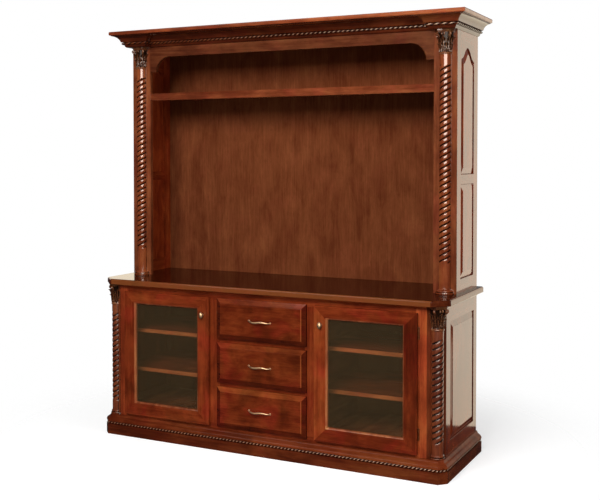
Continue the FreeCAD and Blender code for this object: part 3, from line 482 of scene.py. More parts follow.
def bevelled(low, high, upper_painted_light):
    """How much lighter each bevel of a front is, with painted light on the upper bevel, painted shade on the
    lower one, and a painted highlight on the arris at the right of its field.
    """
    middle = (low + high) / 2
    reach = (high - low) / 2

    def edge(spot):
        from_side = reach.x - abs(spot[X] - middle.x)
        from_level = reach.z - abs(spot[Z] - middle.z)
        nearest = (from_side + from_level - abs(from_side - from_level)) * 0.5
        bevel = nearest < DRAWER_BEVEL
        on_side = from_side < from_level
        upper = (spot[Z] > middle.z) * (upper_painted_light + LOWER_PAINTED_SHADE) - LOWER_PAINTED_SHADE
        arris = abs(nearest - DRAWER_BEVEL) < ARRIS
        # A painted highlight along the right arris.
        painted_highlight = arris * on_side * (spot[X] > middle.x) * ARRIS_HIGHLIGHT
        return bevel * ((1 - on_side) * upper - on_side * END_DARK) + painted_highlight
    return edge


for drawer, upper_painted_light in UPPER_PAINTED_LIGHT.items():
    edge = bevelled(*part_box(drawer + "_front"), upper_painted_light)
    dress(lacquered(drawer + "_cherry", X, tone=0.76, streaky=0.25, blot_size=20.0, patchy=0.9, edge=edge),
          drawer + "_front")

# %% [markdown]
# ## Inside
# Drawer boxes, runners and partitions are browner and hardly polished. The shelves behind the glass are
# darker, with a paler lip along their front that is partly the edging's clear wood and partly painted light
# where the front edge catches the light, and the back boards are plain and dull. They could share one
# finish, but each is seen under other light, so each has a tone of its own and the bay stays quiet.

# %% Dress the inside
# A paler front lip, partly the edging's own wood and partly painted light where the front edge catches the
# light.
LIP_WOOD_AND_LIGHT = 0.35
SHELF_DARK = 0.12


def lipped(front):
    """A dark shelf with a pale front edge, partly its edging's wood and partly painted light."""
    return lambda spot: (spot[Y] < front + SKIN) * LIP_WOOD_AND_LIGHT - SHELF_DARK


dress(lacquered("inner_cherry", Y, tone=0.9, brown=0.8, gloss=0.1), "drawer_1_box", "drawer_2_box",
      "drawer_3_box", "drawer_runners", "drawer_guides", "hutch_dowels", "partitions", "deck")
shelf_edge = lipped(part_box("adjustable_shelves")[0].y)
dress(lacquered("shelf_cherry", X, tone=1.6, brown=0.4, gloss=0.2, edge=shelf_edge), "adjustable_shelves")
dress(lacquered("back_board", Z, tone=0.95, brown=1.1, gloss=0.0, streaky=0.12, cloudy=0.3, patchy=0.1),
      "base_back_panels", "hutch_back_panel")

# %% [markdown]
# ## Glass and metal
# The panes are smoked glass. A shader that bends light would need many samples for flat panes, so they are
# a dark film that lets most light through, with a little dust that changes gloss and film. The knobs and
# pulls are satin nickel with a warm cast, the hinges bronze that went red-brown with age, and the catches
# brown plastic. All of them get their wear from fine noise.

# %% Glass and plastic
def pane():
    finish = Finish("door_glass")
    dust = finish.noise(finish.vector(*finish.place()), 9.0, 4.0, 0.6)
    return finish.surface(
        Base_Color=(0.096, 0.062, 0.029, 1.0), Roughness=dust * 0.04 + 0.02, Alpha=dust * 0.06 + 0.17)


def brown_plastic():
    finish = Finish("catch_plastic")
    grit = finish.noise(finish.vector(*finish.place()), 900.0, 2.0)
    shade = finish.ramp(grit, (0.3, (0.050, 0.030, 0.020)), (0.7, (0.075, 0.047, 0.032)))
    return finish.surface(Base_Color=shade, Roughness=grit * 0.2 + 0.45)


dress(pane(), "left_door_glass", "right_door_glass")
dress(brown_plastic(), "door_catches")

# %% Nickel and bronze
NICKEL_DULL = (0.37, 0.25, 0.15)
NICKEL_BRIGHT = (0.50, 0.36, 0.225)


def nickel(name, bright):
    """Satin nickel. Bright scales its colour."""
    finish = Finish(name)
    wear = finish.noise(finish.vector(*finish.place()), 260.0, 3.0, 0.6)
    worn = [tuple(part * bright for part in tint) for tint in (NICKEL_DULL, NICKEL_BRIGHT)]
    tint = finish.ramp(wear, (0.3, worn[0]), (0.7, worn[1]))
    return finish.surface(Base_Color=tint, Metallic=1.0, Roughness=wear * 0.15 + 0.40)


def bronze():
    """Aged bronze, whose worn edges still shine."""
    finish = Finish("dark_bronze")
    wear = finish.noise(finish.vector(*finish.place()), 180.0, 3.0, 0.6)
    tint = finish.ramp(wear, (0.45, (0.150, 0.050, 0.020)), (0.75, (0.300, 0.130, 0.060)))
    return finish.surface(Base_Color=tint, Metallic=1.0, Roughness=0.55 - wear * 0.25)


pull_metal = nickel("rubbed_nickel", 1.5)
dress(nickel("satin_nickel", 1.0), "left_door_knob", "right_door_knob", "drawer_1_pull", "drawer_2_pull",
      "drawer_3_pull", "shelf_pins")
dress(bronze(), "left_door_hinge_leaves", "right_door_hinge_leaves", "fixed_hinge_leaves")

# %% [markdown]
# ## Rope beads
# A rope bead is a half-round strip that is carved into two strands. It could be a spiral curve, but then the
# mitres at the corners would gape. So the strip is swept ring by ring along its run: each ring is a circle
# with two lobes that turn as the ring moves on, the back is pressed flat where it is glued, and the rings at
# a corner lean onto the mitre. Each point also keeps how deep in a groove it lies, for the glaze and its
# painted shade, and whether it lies on the front of a strand, where a painted highlight goes.

# %% A closed mesh from points and faces
SHARP_ANGLE = math.radians(50)


def carve(name, points, faces, hollows, body, slot, *replaced):
    """A smooth piece. Hollows gives each point a value from 0 to 1: how deep in a groove it lies, raised for
    painted shade in creases and corners, and on a rope away from the front, where no painted highlight goes.
    """
    mesh = bpy.data.meshes.new(name)
    mesh.from_pydata(points, [], faces)
    mesh.attributes.new("hollow", "FLOAT", "POINT").data.foreach_set("value", hollows)
    mesh.shade_smooth()
    mesh.set_sharp_from_angle(angle=SHARP_ANGLE)
    piece = bpy.data.objects.new(name, mesh)
    bpy.context.scene.collection.objects.link(piece)
    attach(piece, body)
    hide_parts(*replaced)
    print(name, len(points), "points", len(faces), "faces")
    return piece


def stitch(rings, first=0):
    """Quads between rings of equal length, with a cap on both ends."""
    size = len(rings[0])
    faces = []
    for row in range(len(rings) - 1):
        start = first + row * size
        for i in range(size):
            j = (i + 1) % size
            faces.append((start + i, start + j, start + size + j, start + size + i))
    last = first + (len(rings) - 1) * size
    faces.append(tuple(range(first + size - 1, first - 1, -1)))
    faces.append(tuple(range(last, last + size)))
    return faces


print("edges over", round(math.degrees(SHARP_ANGLE)), "degrees stay crisp")

# %% One ring of a rope
ROPE_SIDES = 20
STRAND_GROOVE = 0.34
# Only the front of each strand takes the painted highlight; points off the front are held at a level where
# it doesn't show.
HIGHLIGHT_FACE = 0.16
UNHIGHLIGHTED = 0.09


def rope_ring(turns, radius, seat):
    """The two-lobed section, as (outward, up, hollow) for each side. Only its front takes the painted
    highlight.
    """
    ring = []
    for side in range(ROPE_SIDES):
        angle = math.tau * side / ROPE_SIDES
        lobe = abs(math.cos(angle - math.pi * turns))
        reach = radius * (1 - STRAND_GROOVE * (1 - lobe ** 0.8))
        outward = max(seat, seat + radius / 2 + reach * math.cos(angle))
        away = UNHIGHLIGHTED * min(1.0, (1 - math.cos(angle)) / HIGHLIGHT_FACE)
        ring.append((outward, reach * math.sin(angle), max((1 - lobe) ** 1.5, away)))
    return ring


print("a strand stands out", max(outward for outward, _, _ in rope_ring(0.0, 1.0, 0.0)), "radii")

# %% Sweep a rope along its run
ROPE_STEP = 0.0024


def rope(name, corners, seat, radius, level, pitch, node):
    """Corners run anticlockwise seen from above, so the outside is on the right of the way."""
    corners = [Vector(corner) for corner in corners]
    ways = [(b - a).normalized() for a, b in zip(corners, corners[1:])]
    leans = [0.0]
    for before, after in zip(ways, ways[1:]):
        turn = math.atan2(before.x * after.y - before.y * after.x, before.dot(after))
        leans.append(math.tan(turn / 2))
    leans.append(0.0)
    rings = []
    hollows = []
    travel = 0.0
    for run, way in enumerate(ways):
        length = (corners[run + 1] - corners[run]).length
        outside = Vector((way.y, -way.x))
        count = max(4, round(length / ROPE_STEP))
        for step in range(0 if run == 0 else 1, count + 1):
            share = step / count
            ring = []
            for outward, up, hollow in rope_ring((travel + length * share) / pitch, radius, seat):
                start = -outward * leans[run]
                end = length + outward * leans[run + 1]
                spot = corners[run] + way * (start + (end - start) * share) + outside * outward
                ring.append((spot.x, spot.y, level + up))
                hollows.append(hollow)
            rings.append(ring)
        travel += length
    points = [point for ring in rings for point in ring]
    return carve(name, points, stitch(rings), hollows, "cabinet", "rope_wood", node)


print("a rope has a ring every", ROPE_STEP, "m")

# %% Crown rope
CROWN_PITCH = 0.025
SEAT_RADII = 1.5
stile_low, stile_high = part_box("hutch_stiles")
rope_low, rope_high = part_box("crown_rope")
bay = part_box("valance")[1].x
half = stile_high.x
step_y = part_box("crown_blocks")[0].y
rope_radius = (rope_high.z - rope_low.z) / 2
crown_seat = rope_high.x - half - SEAT_RADII * rope_radius
crown_run = [(-half, rope_high.y), (-half, step_y), (-bay, step_y), (-bay, stile_low.y),
             (bay, stile_low.y), (bay, step_y), (half, step_y), (half, rope_high.y)]
crown_rope = rope("crown_rope_carved", crown_run, crown_seat, rope_radius, (rope_low.z + rope_high.z) / 2,
                  CROWN_PITCH, "crown_rope")

# %% Plinth rope
PLINTH_PITCH = 0.0188
PLINTH_CANT = 0.034
foot_low, foot_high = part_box("plinth_boards")
rope_low, rope_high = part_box("plinth_rope")
wide = foot_high.x
plinth_seat = rope_high.x - wide - SEAT_RADII * rope_radius
plinth_run = [(-wide, foot_high.y), (-wide, foot_low.y + PLINTH_CANT), (-wide + PLINTH_CANT, foot_low.y),
              (wide - PLINTH_CANT, foot_low.y), (wide, foot_low.y + PLINTH_CANT), (wide, foot_high.y)]
plinth_rope = rope("plinth_rope_carved", plinth_run, plinth_seat, rope_radius,
                   (rope_low.z + rope_high.z) / 2, PLINTH_PITCH, "plinth_rope")

# %% [markdown]
# ## Rope-twist columns
# The four half-columns are turned first, then three fat strands are cut round the middle of the shaft, with
# a plain length left above and below. A Screw modifier could twist a section, but the strands have to die
# out at both ends. So the shaft is swept ring by ring: at each height the radius dips in a narrow groove
# where two strands meet, and the dip fades out near the ends. The foot is two small rolls under a cove, as a
# lathe leaves it. Dark glaze stays in the grooves and is deepened there as painted shade, and painted shade
# lies between the rolls and along the corners at the back.

# %% Sections of a column
SHAFT = 0.0275
STRANDS = 3
STRAND_RISE = 0.0265
STRAND_ROUND = 0.0012
GROOVE_DEPTH = 0.0031
FOOT_HIGH = 0.024
ROLL = 0.009
ROLL_BULGE = 0.002
ROLL_INSET = 0.003
COVE_INSET = 0.007


def ease(value, low, high):
    """From 0 at low to 1 at high, with soft ends."""
    share = min(1.0, max(0.0, (value - low) / (high - low)))
    return share * share * (3 - 2 * share)


def foot_radius_at(rise, foot):
    """Two rolls, the upper one set in, then a cove up to the shaft."""
    if rise < 2 * ROLL:
        upper = rise >= ROLL
        bulge = math.sin(math.pi * (rise - ROLL * upper) / ROLL)
        return foot - ROLL_BULGE - ROLL_INSET * upper + ROLL_BULGE * max(0.0, bulge) ** 0.6
    share = (rise - 2 * ROLL) / (FOOT_HIGH - 2 * ROLL)
    return SHAFT + (foot - COVE_INSET - SHAFT) * (1 - min(1.0, share)) ** 2


def strand_cut(angle, rise, depth):
    """How far the carving goes in, and how deep in a groove the point lies."""
    place = (angle / math.tau * STRANDS - rise / STRAND_RISE) % 1.0
    off = abs(2 * place - 1)
    cut = STRAND_ROUND * off ** 2 + GROOVE_DEPTH * off ** 6
    return cut * depth, depth * off ** 3.4


print("a strand goes round in", STRANDS * STRAND_RISE, "m")

# %% A half-column from its node's box
COLUMN_ARC = 44
COLUMN_STEP = 0.0017
ROLL_STEPS = 6
COVE_STEPS = 5
GROOVE_FADE = 0.009
# Painted shade: a band in the crease between the rolls, and a strip along the back corners of each column.
CREASE = 0.0012
CORNER_FROM = math.radians(77)
CORNER_SHADE = 0.45


def column(name, node, foot, plain_low, plain_high, axis, turn):
    """The strands run from plain_low to plain_high, and the round side is turned out from the front."""
    low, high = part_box(node)
    tall = high.z - low.z
    angles = [math.pi * (i / COLUMN_ARC - 0.5) for i in range(COLUMN_ARC + 1)]
    count = round((tall - FOOT_HIGH) / COLUMN_STEP)
    levels = [ROLL * i / ROLL_STEPS for i in range(2 * ROLL_STEPS + 1)]
    levels += [2 * ROLL + (FOOT_HIGH - 2 * ROLL) * i / COVE_STEPS for i in range(1, COVE_STEPS + 1)]
    levels += [FOOT_HIGH + (tall - FOOT_HIGH) * i / count for i in range(1, count + 1)]
    rings = []
    hollows = []
    for rise in levels:
        depth = ease(rise, plain_low, plain_low + GROOVE_FADE)
        depth *= 1 - ease(rise, plain_high - GROOVE_FADE, plain_high)
        plain = foot_radius_at(rise, foot) if rise < FOOT_HIGH else SHAFT
        # Painted shade in the crease between the rolls and along the back corners adds to the hollows.
        crease = math.exp(-((rise - ROLL) / CREASE) ** 2)
        ring = []
        for angle in angles:
            cut, hollow = strand_cut(angle, rise, depth)
            corner = CORNER_SHADE * ease(abs(angle), CORNER_FROM, math.pi / 2)
            r = plain - cut
            out = angle + turn
            ring.append((axis[0] + r * math.sin(out), axis[1] - r * math.cos(out), low.z + rise))
            hollows.append(min(1.0, hollow + crease + corner))
        rings.append(ring)
    points = [point for ring in rings for point in ring]
    return carve(name, points, stitch(rings), hollows, "cabinet", "carved_wood", node)


print("a column has a ring every", COLUMN_STEP, "m")

# %% Four columns
HUTCH_STRANDS = (0.140, 1.055)
BASE_STRANDS = (0.066, 0.537)
CANT_TURN = math.radians(45)
column_low, column_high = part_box("hutch_right_column")
hutch_axis = ((column_low.x + column_high.x) / 2, column_high.y)
hutch_foot = (column_high.x - column_low.x) / 2
column_low, column_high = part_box("base_right_column")
base_foot = (column_high.x - column_low.x) / (1 + math.sqrt(0.5))
base_axis = (column_high.x - base_foot, column_low.y + base_foot)
columns = []
for side, word in ((-1, "left"), (1, "right")):
    columns.append(column(f"hutch_{word}_twist", f"hutch_{word}_column", hutch_foot, *HUTCH_STRANDS,
                          (side * hutch_axis[0], hutch_axis[1]), 0.0))
    columns.append(column(f"base_{word}_twist", f"base_{word}_column", base_foot, *BASE_STRANDS,
                          (side * base_axis[0], base_axis[1]), side * CANT_TURN))

# %% [markdown]
# ## Carved capitals
# Each column ends in a small capital: a bell with two rows of acanthus leaves, scrolls under the corners of
# a slab, and a bead at the neck. Only the front half exists, because it is planted on the case. Sculpting by
# hand could not be repeated by a script. Here a leaf is a grid that is wrapped round the bell, notched at
# the sides, ribbed down the middle and rolled out at the tip, and its rim runs back into the bell as a
# chisel would leave it.

# %% Bell and slab
CARVE_ARC = 28
SLAB_STEPS = 6
SLAB_HOLLOW = 0.25


class Carving:
    """Collects rings and grids of one capital, with the axis upright and the front towards minus y."""

    def __init__(self):
        self.points = []
        self.faces = []
        self.hollows = []

    def loops(self, rings, hollows):
        self.faces += stitch(rings, len(self.points))
        for ring, hollow in zip(rings, hollows):
            self.points += ring
            self.hollows += [hollow] * len(ring)

    def turned(self, profile):
        """A half turning from (radius, height, hollow) steps."""
        angles = [math.pi * (i / CARVE_ARC - 0.5) for i in range(CARVE_ARC + 1)]
        rings = [[(r * math.sin(a), -r * math.cos(a), z) for a in angles] for r, z, _ in profile]
        self.loops(rings, [hollow for _, _, hollow in profile])

    def plate(self, half_width, clip, dip, steps):
        """The slab: clipped corners and a hollowed front, stepped as (inset, height)."""
        flat = half_width - clip
        front = []
        for i in range(2 * SLAB_STEPS + 1):
            share = i / SLAB_STEPS - 1
            front.append((share * flat, -half_width + dip * (1 - share * share)))
        plan = [(-half_width, 0), (-half_width, -flat), *front, (half_width, -flat), (half_width, 0)]
        rings = []
        for inset, z in steps:
            scale = 1 - inset / half_width
            rings.append([(x * scale, y * scale, z) for x, y in plan])
        self.loops(rings, [SLAB_HOLLOW] * len(steps))

    def shell(self, front, back, hollows, size):
        """A closed shell of a front grid, a back grid and the rim between them."""
        first = len(self.points)
        count = len(front)
        self.points += front + back
        self.hollows += hollows + [1.0] * count
        rows = count // size
        for row in range(rows - 1):
            for place in range(size - 1):
                a = first + row * size + place
                quad = (a, a + 1, a + size + 1, a + size)
                self.faces.append(quad)
                self.faces.append(tuple(i + count for i in reversed(quad)))
        rim = list(range(size))
        rim += [row * size + size - 1 for row in range(1, rows)]
        rim += [count - 1 - i for i in range(1, size)]
        rim += [row * size for row in range(rows - 2, 0, -1)]
        for i, j in zip(rim, rim[1:] + rim[:1]):
            self.faces.append((first + j, first + i, first + count + i, first + count + j))


print("a capital is turned in", CARVE_ARC, "steps")

# %% Leaves
LEAF_ROWS = 22
LEAF_COLUMNS = 14
LEAF_LOBES = 3.6
LEAF_FOOT = 0.26
TIP_FROM = 0.74
TIP_NARROW = 0.80
NOTCH_DEEP = 0.30
TIP_NOD = 0.10
LEAF_THICK = 0.0026
LEAF_SINK = 0.001
RIB_HIGH = 0.0016
LIP_HIGH = 0.0016
VEIN_DEEP = 0.0013
CROSS_BOW = 0.0010


def leaf(carving, bell, turn, foot, height, half_width, curl):
    """An acanthus leaf on the bell. Turn is its angle from the front, bell(z) the radius behind it."""
    front = []
    back = []
    hollows = []
    for row in range(LEAF_ROWS + 1):
        u = row / LEAF_ROWS
        body = LEAF_FOOT + (1 - LEAF_FOOT) * math.sin(math.pi * min(1.0, u / 1.15) ** 1.15)
        point = 1 - TIP_NARROW * ease(u, TIP_FROM, 1.02)
        lobe = max(0.0, math.cos(math.tau * LEAF_LOBES * u))
        notch = 1 - NOTCH_DEEP * lobe ** 6 * ease(u, 0.1, 0.2)
        wide = half_width * body * point * notch
        z = foot + height * (u - TIP_NOD * ease(u, 0.78, 1.0))
        behind = bell(foot + height * u)
        roll = curl * ease(u, 0.55, 1.0) ** 1.4
        for place in range(LEAF_COLUMNS + 1):
            v = 2 * place / LEAF_COLUMNS - 1
            rib = RIB_HIGH * math.exp(-(v / 0.20) ** 2) * (1 - 0.5 * u)
            vein = 0.5 + 0.5 * math.cos(math.tau * (LEAF_LOBES * u - 0.8 * abs(v)))
            groove = vein ** 3 * ease(abs(v), 0.1, 0.35)
            lift = LEAF_THICK + rib + LIP_HIGH * abs(v) ** 5 - VEIN_DEEP * groove - CROSS_BOW * v * v
            lift += roll * (1 - 0.25 * v * v)
            angle = turn + v * wide / behind
            for grid, r in ((front, behind + lift), (back, behind - LEAF_SINK)):
                grid.append((r * math.sin(angle), -r * math.cos(angle), z))
            # The rib, rims and tip of a leaf keep less glaze and less painted shade, as wiped high points.
            worn = max(math.exp(-(v / 0.16) ** 2) * 0.7, abs(v) ** 6, ease(u, 0.85, 1.0))
            hollows.append(min(1.0, 0.45 + 0.5 * groove) * (1 - worn))
    carving.shell(front, back, hollows, LEAF_COLUMNS + 1)


print("a leaf has", 2 * (LEAF_ROWS + 1) * (LEAF_COLUMNS + 1), "points")

# %% Scrolls
STEM_STEPS = 8
COIL_STEPS = 33
COIL_TURNS = 1.6
COIL_SHRINK = 0.78
SCROLL_SIDES = 10
SCROLL_THICK = 0.30
SCROLL_TAPER = 0.12
SCROLL_NARROW = 0.3


def scroll(carving, turn, stem, eye, size, broad):
    """A scroll in the upright plane at the angle turn: a stem from (r, z) that coils about the eye."""
    path = []
    for i in range(STEM_STEPS):
        share = i / STEM_STEPS
        path.append((stem[0] + (eye[0] - stem[0]) * share ** 2.2,
                     stem[1] + (eye[1] + size - stem[1]) * share))
    for i in range(COIL_STEPS + 1):
        angle = math.pi / 2 - math.tau * COIL_TURNS * i / COIL_STEPS
        reach = size * (1 - COIL_SHRINK * i / COIL_STEPS)
        path.append((eye[0] + reach * math.cos(angle), eye[1] + reach * math.sin(angle)))
    rings = []
    for i, (r, z) in enumerate(path):
        before = Vector(path[max(0, i - 1)])
        after = Vector(path[min(len(path) - 1, i + 1)])
        way = (after - before).normalized()
        thick = size * (SCROLL_THICK - SCROLL_TAPER * i / len(path))
        ring = []
        for k in range(SCROLL_SIDES):
            a = math.tau * k / SCROLL_SIDES
            out = r - way.y * thick * math.cos(a)
            up = z + way.x * thick * math.cos(a)
            side = broad * math.sin(a) * (1 - SCROLL_NARROW * i / len(path))
            ring.append((out * math.sin(turn) + side * math.cos(turn),
                         -out * math.cos(turn) + side * math.sin(turn), up))
        rings.append(ring)
    carving.loops(rings, [0.3 * math.sin(i) ** 2 for i in range(len(rings))])


print("a scroll has", STEM_STEPS + COIL_STEPS + 1, "rings")

# %% Put a capital together
NECK = 0.0279
NECK_BEAD = [(-0.001, 0.0), (0.0018, 0.0008), (0.0034, 0.003), (0.0036, 0.0048), (0.0026, 0.0074),
             (0.0, 0.0095), (-0.001, 0.011)]
BEAD_TOP = 0.011
BELL_STEPS = 10
BELL_FLARE = 0.0100
BELL_INSET = 0.0005
LOWER_LEAVES = {"turns": (-67.5, -22.5, 22.5, 67.5), "foot": 0.010, "share": 0.52, "form": (0.0122, 0.0070)}
UPPER_LEAVES = {"turns": (-84, -45, 0, 45, 84), "foot": 0.014, "share": 0.84, "form": (0.0105, 0.0075)}
CORNER_SCROLLS = {"turns": (-45, 45), "share": 0.45, "eye": (0.0150, 0.0095), "form": (0.0085, 0.0042)}
INNER_SCROLLS = {"turns": (-9, 9), "share": 0.5, "eye": (0.0085, 0.008), "form": (0.0062, 0.0034)}
STEM_OUT = 0.002
SLAB = 0.013
SLAB_HALF = 0.041
SLAB_CLIP = 0.014
SLAB_DIP = 0.004


def capital(height):
    """Half a capital from its neck up, standing on z = 0."""
    carving = Carving()
    top = height - SLAB
    rise = top - BEAD_TOP

    def bell(z):
        share = min(1.0, max(0.0, (z - BEAD_TOP) / rise))
        return NECK - BELL_INSET + BELL_FLARE * share ** 1.3

    walls = [BEAD_TOP + rise * i / BELL_STEPS for i in range(1, BELL_STEPS + 1)]
    # The bell behind the leaves takes the full glaze and painted shade, the neck bead little.
    carving.turned([(NECK + r, z, 0.1) for r, z in NECK_BEAD] + [(bell(z), z, 1.0) for z in walls])
    for row in (LOWER_LEAVES, UPPER_LEAVES):
        for turn in row["turns"]:
            leaf(carving, bell, math.radians(turn), row["foot"], rise * row["share"], *row["form"])
    for pair in (CORNER_SCROLLS, INNER_SCROLLS):
        stem = (NECK + STEM_OUT, BEAD_TOP + rise * pair["share"])
        eye = (NECK + pair["eye"][0], top - pair["eye"][1])
        for turn in pair["turns"]:
            scroll(carving, math.radians(turn), stem, eye, *pair["form"])
    carving.plate(SLAB_HALF, SLAB_CLIP, SLAB_DIP, [
        (0.005, top - 0.001), (0.0045, top + SLAB * 0.25), (0.002, top + SLAB * 0.45),
        (0.002, top + SLAB * 0.55), (0.0, top + SLAB * 0.62), (0.0, height)])
    return carving


def capitals(name, node, turn_out, axis):
    """Left and right capital of one storey, turned out by an angle, at the axis of the right-hand one."""
    low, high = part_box(node)
    shape = capital(high.z - low.z)
    points = []
    faces = []
    for side in (-1, 1):
        place = Matrix.Translation((side * axis[0], axis[1], low.z))
        place = place @ Matrix.Rotation(side * turn_out, 4, "Z")
        first = len(points)
        points += [place @ Vector(point) for point in shape.points]
        faces += [tuple(first + i for i in face) for face in shape.faces]
    return carve(name, points, faces, shape.hollows * 2, "cabinet", "carved_wood", node)


hutch_capitals = capitals("hutch_capitals_carved", "hutch_capitals", 0.0, hutch_axis)
base_capitals = capitals("base_capitals_carved", "base_capitals", CANT_TURN, base_axis)

# %% [markdown]
# ## Drawer pulls
# Each pull is a cast bow with a lazy wave in it: the left end sits a little high, the right end a little
# low. A bent curve with a round bevel would do, but a cast bow also swells in the middle, so rings of
# changing size are swept along the wave and the two feet flare out to small discs on the drawer.

# %% Cast bow pulls
PULL_REACH = 0.058
PULL_WAVE = 0.0022
PULL_SEAT = 0.0015
PULL_ROOM = 0.006
PULL_STEPS = 48
PULL_SIDES = 16
PULL_THIN = 0.0023
PULL_SWELL = 0.0014
DISC_SIDES = 24
DISC_PROFILE = [(0.0050, 0.0), (0.0051, 0.0008), (0.0045, 0.0016), (0.0034, 0.0026), (0.0026, 0.0050)]


def bow_path(face_y, out, level):
    """Places along the bow, each with its share from -1 to 1, closer together near the feet."""
    path = []
    for i in range(PULL_STEPS + 1):
        even = 2 * i / PULL_STEPS - 1
        u = math.sin(even * math.pi / 2) * 0.6 + even * 0.4
        bow = (1 - abs(u) ** 3.0) ** 0.75
        wave = PULL_WAVE * math.sin(1.5 * math.pi * u)
        spot = Vector((PULL_REACH * u, face_y - PULL_SEAT - (out - PULL_ROOM) * bow, level + wave))
        path.append((spot, u))
    return path


def pull(name, node, body):
    """One bow with its two feet, at the height of its node."""
    low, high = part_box(node)
    level = (low.z + high.z) / 2
    path = bow_path(high.y, high.y - low.y, level)
    rings = []
    for i, (spot, u) in enumerate(path):
        way = (path[min(i + 1, PULL_STEPS)][0] - path[max(i - 1, 0)][0]).normalized()
        across = way.cross(Vector((0, 0, 1))).normalized()
        up = across.cross(way) * (1.25 - 0.25 * abs(u))
        thick = PULL_THIN + PULL_SWELL * (1 - u * u)
        angles = [math.tau * k / PULL_SIDES for k in range(PULL_SIDES)]
        rings.append([spot + across * thick * math.cos(a) + up * thick * math.sin(a) for a in angles])
    points = [point for ring in rings for point in ring]
    faces = stitch(rings)
    for side in (-1, 1):
        disc = []
        for radius, drop in DISC_PROFILE:
            angles = [math.tau * k / DISC_SIDES for k in range(DISC_SIDES)]
            disc.append([Vector((side * PULL_REACH + radius * math.cos(a), high.y - drop,
                                 level - side * PULL_WAVE + radius * math.sin(a))) for a in angles])
        faces += stitch(disc, len(points))
        points += [point for ring in disc for point in ring]
    return carve(name, points, faces, [0.0] * len(points), body, "nickel", node)


pulls = [pull(f"drawer_{i}_bow", f"drawer_{i}_pull", f"drawer_{i}") for i in (1, 2, 3)]

# %% [markdown]
# ## Glaze and painted shade on the carving
# A finisher brushes dark glaze over carving and wipes it off again, so it stays where the cloth doesn't
# reach; here the same dark also stands in for the shade in the hollows, so it is glaze and painted shade
# together. Cycles could find the hollows by ambient occlusion, but the sweeps above already stored how deep
# each point lies, which costs nothing. On the ropes the front of each strand carries a painted highlight of
# pale wood colour, stronger towards the right.

# %% Cherry with glaze and painted shade in its hollows
# Dark glaze, which also stands in for the shade in the hollows.
GLAZE_AND_SHADE = (0.010, 0.0035, 0.0015, 1.0)
GLAZE_AND_SHADE_SPREAD = 0.55
# Colour of the painted highlight on the rope crests.
CREST_HIGHLIGHT = (0.62, 0.45, 0.30, 1.0)
CARVED_STREAKS = 0.45
CARVED_LINES = 0.25
CARVED_BLOTS = 0.60
CARVED_DARK = 0.10


def carved(name, along, sheen, glaze_and_shade_from, tone, brown=0.3, dull=0.5, painted_highlight=0.0, rise=0.0):
    """Sheen is the coat's roughness, dull takes the coat off the glaze and painted shade, and the painted
    highlight grows by rise per metre to the right.
    """
    finish = Finish(name)
    spot = finish.place()
    streaks, lines, _, blots, _ = wood_layers(finish, spot, along)
    depth = streaks * CARVED_STREAKS + lines * CARVED_LINES + blots * CARVED_BLOTS - CARVED_DARK
    stain = finish.ramp(depth, *zip(SHADE_STOPS, stains(tone, brown)))
    hollow = finish.add("ShaderNodeAttribute", {"attribute_name": "hollow"}, out="Fac")
    glaze_and_shade = finish.spread(hollow + blots * 0.25, glaze_and_shade_from, glaze_and_shade_from + GLAZE_AND_SHADE_SPREAD)
    stain = finish.blend(glaze_and_shade, stain, GLAZE_AND_SHADE)
    # A painted highlight on the front of each rope strand, stronger towards the right.
    if painted_highlight:
        crest = 1 - finish.spread(hollow, 0.01, UNHIGHLIGHTED)
        stain = finish.blend(crest * (spot[X] * rise + (1 - rise)) * painted_highlight, stain, CREST_HIGHLIGHT)
    return finish.surface(
        Base_Color=stain, Roughness=glaze_and_shade * 0.2 + WOOD_ROUGH, Specular_IOR_Level=0.0,
        Coat_Weight=1.0 - glaze_and_shade * dull, Coat_Roughness=sheen, Normal=finish.bump(lines, 0.00015, 0.3))


print("glaze_and_shade", GLAZE_AND_SHADE[:3], "crest highlight", CREST_HIGHLIGHT[:3])


# %% Dress the carved pieces
def finish_pieces(material, *pieces):
    """Gives the meshes made above their finish."""
    for piece in pieces:
        piece.data.materials.append(material)
    print(material.name, "on", *[piece.name for piece in pieces])


finish_pieces(carved("carved_cherry", Z, 0.20, 0.12, 0.95, 1.2, dull=0.75), hutch_capitals, base_capitals)
finish_pieces(carved("crown_rope_cherry", X, 0.12, 0.10, 0.5, dull=0.9, painted_highlight=0.7, rise=0.66), crown_rope)
finish_pieces(carved("plinth_rope_cherry", X, 0.12, 0.10, 0.7, dull=0.9, painted_highlight=0.55, rise=0.3), plinth_rope)
finish_pieces(carved("hutch_twist_cherry", Z, 0.13, 0.18, 1.05, 0.5), *columns[0::2])
finish_pieces(carved("base_twist_cherry", Z, 0.27, 0.14, 0.75, 0.4, dull=0.3), *columns[1::2])
finish_pieces(pull_metal, *pulls)

# %% [markdown]
# ## Studio
# The background is pure white, yet the cabinet is dark and glossy. A white room all round would wash the
# stain out, because lacquer mirrors what is in front of it. So the world is white to the camera and dim
# towards the front, where it works like an unlit studio. What the lacquer mirrors is placed one by one: a
# pale wall behind, and a cream patch low at the left, which lies as a sheen on level boards.

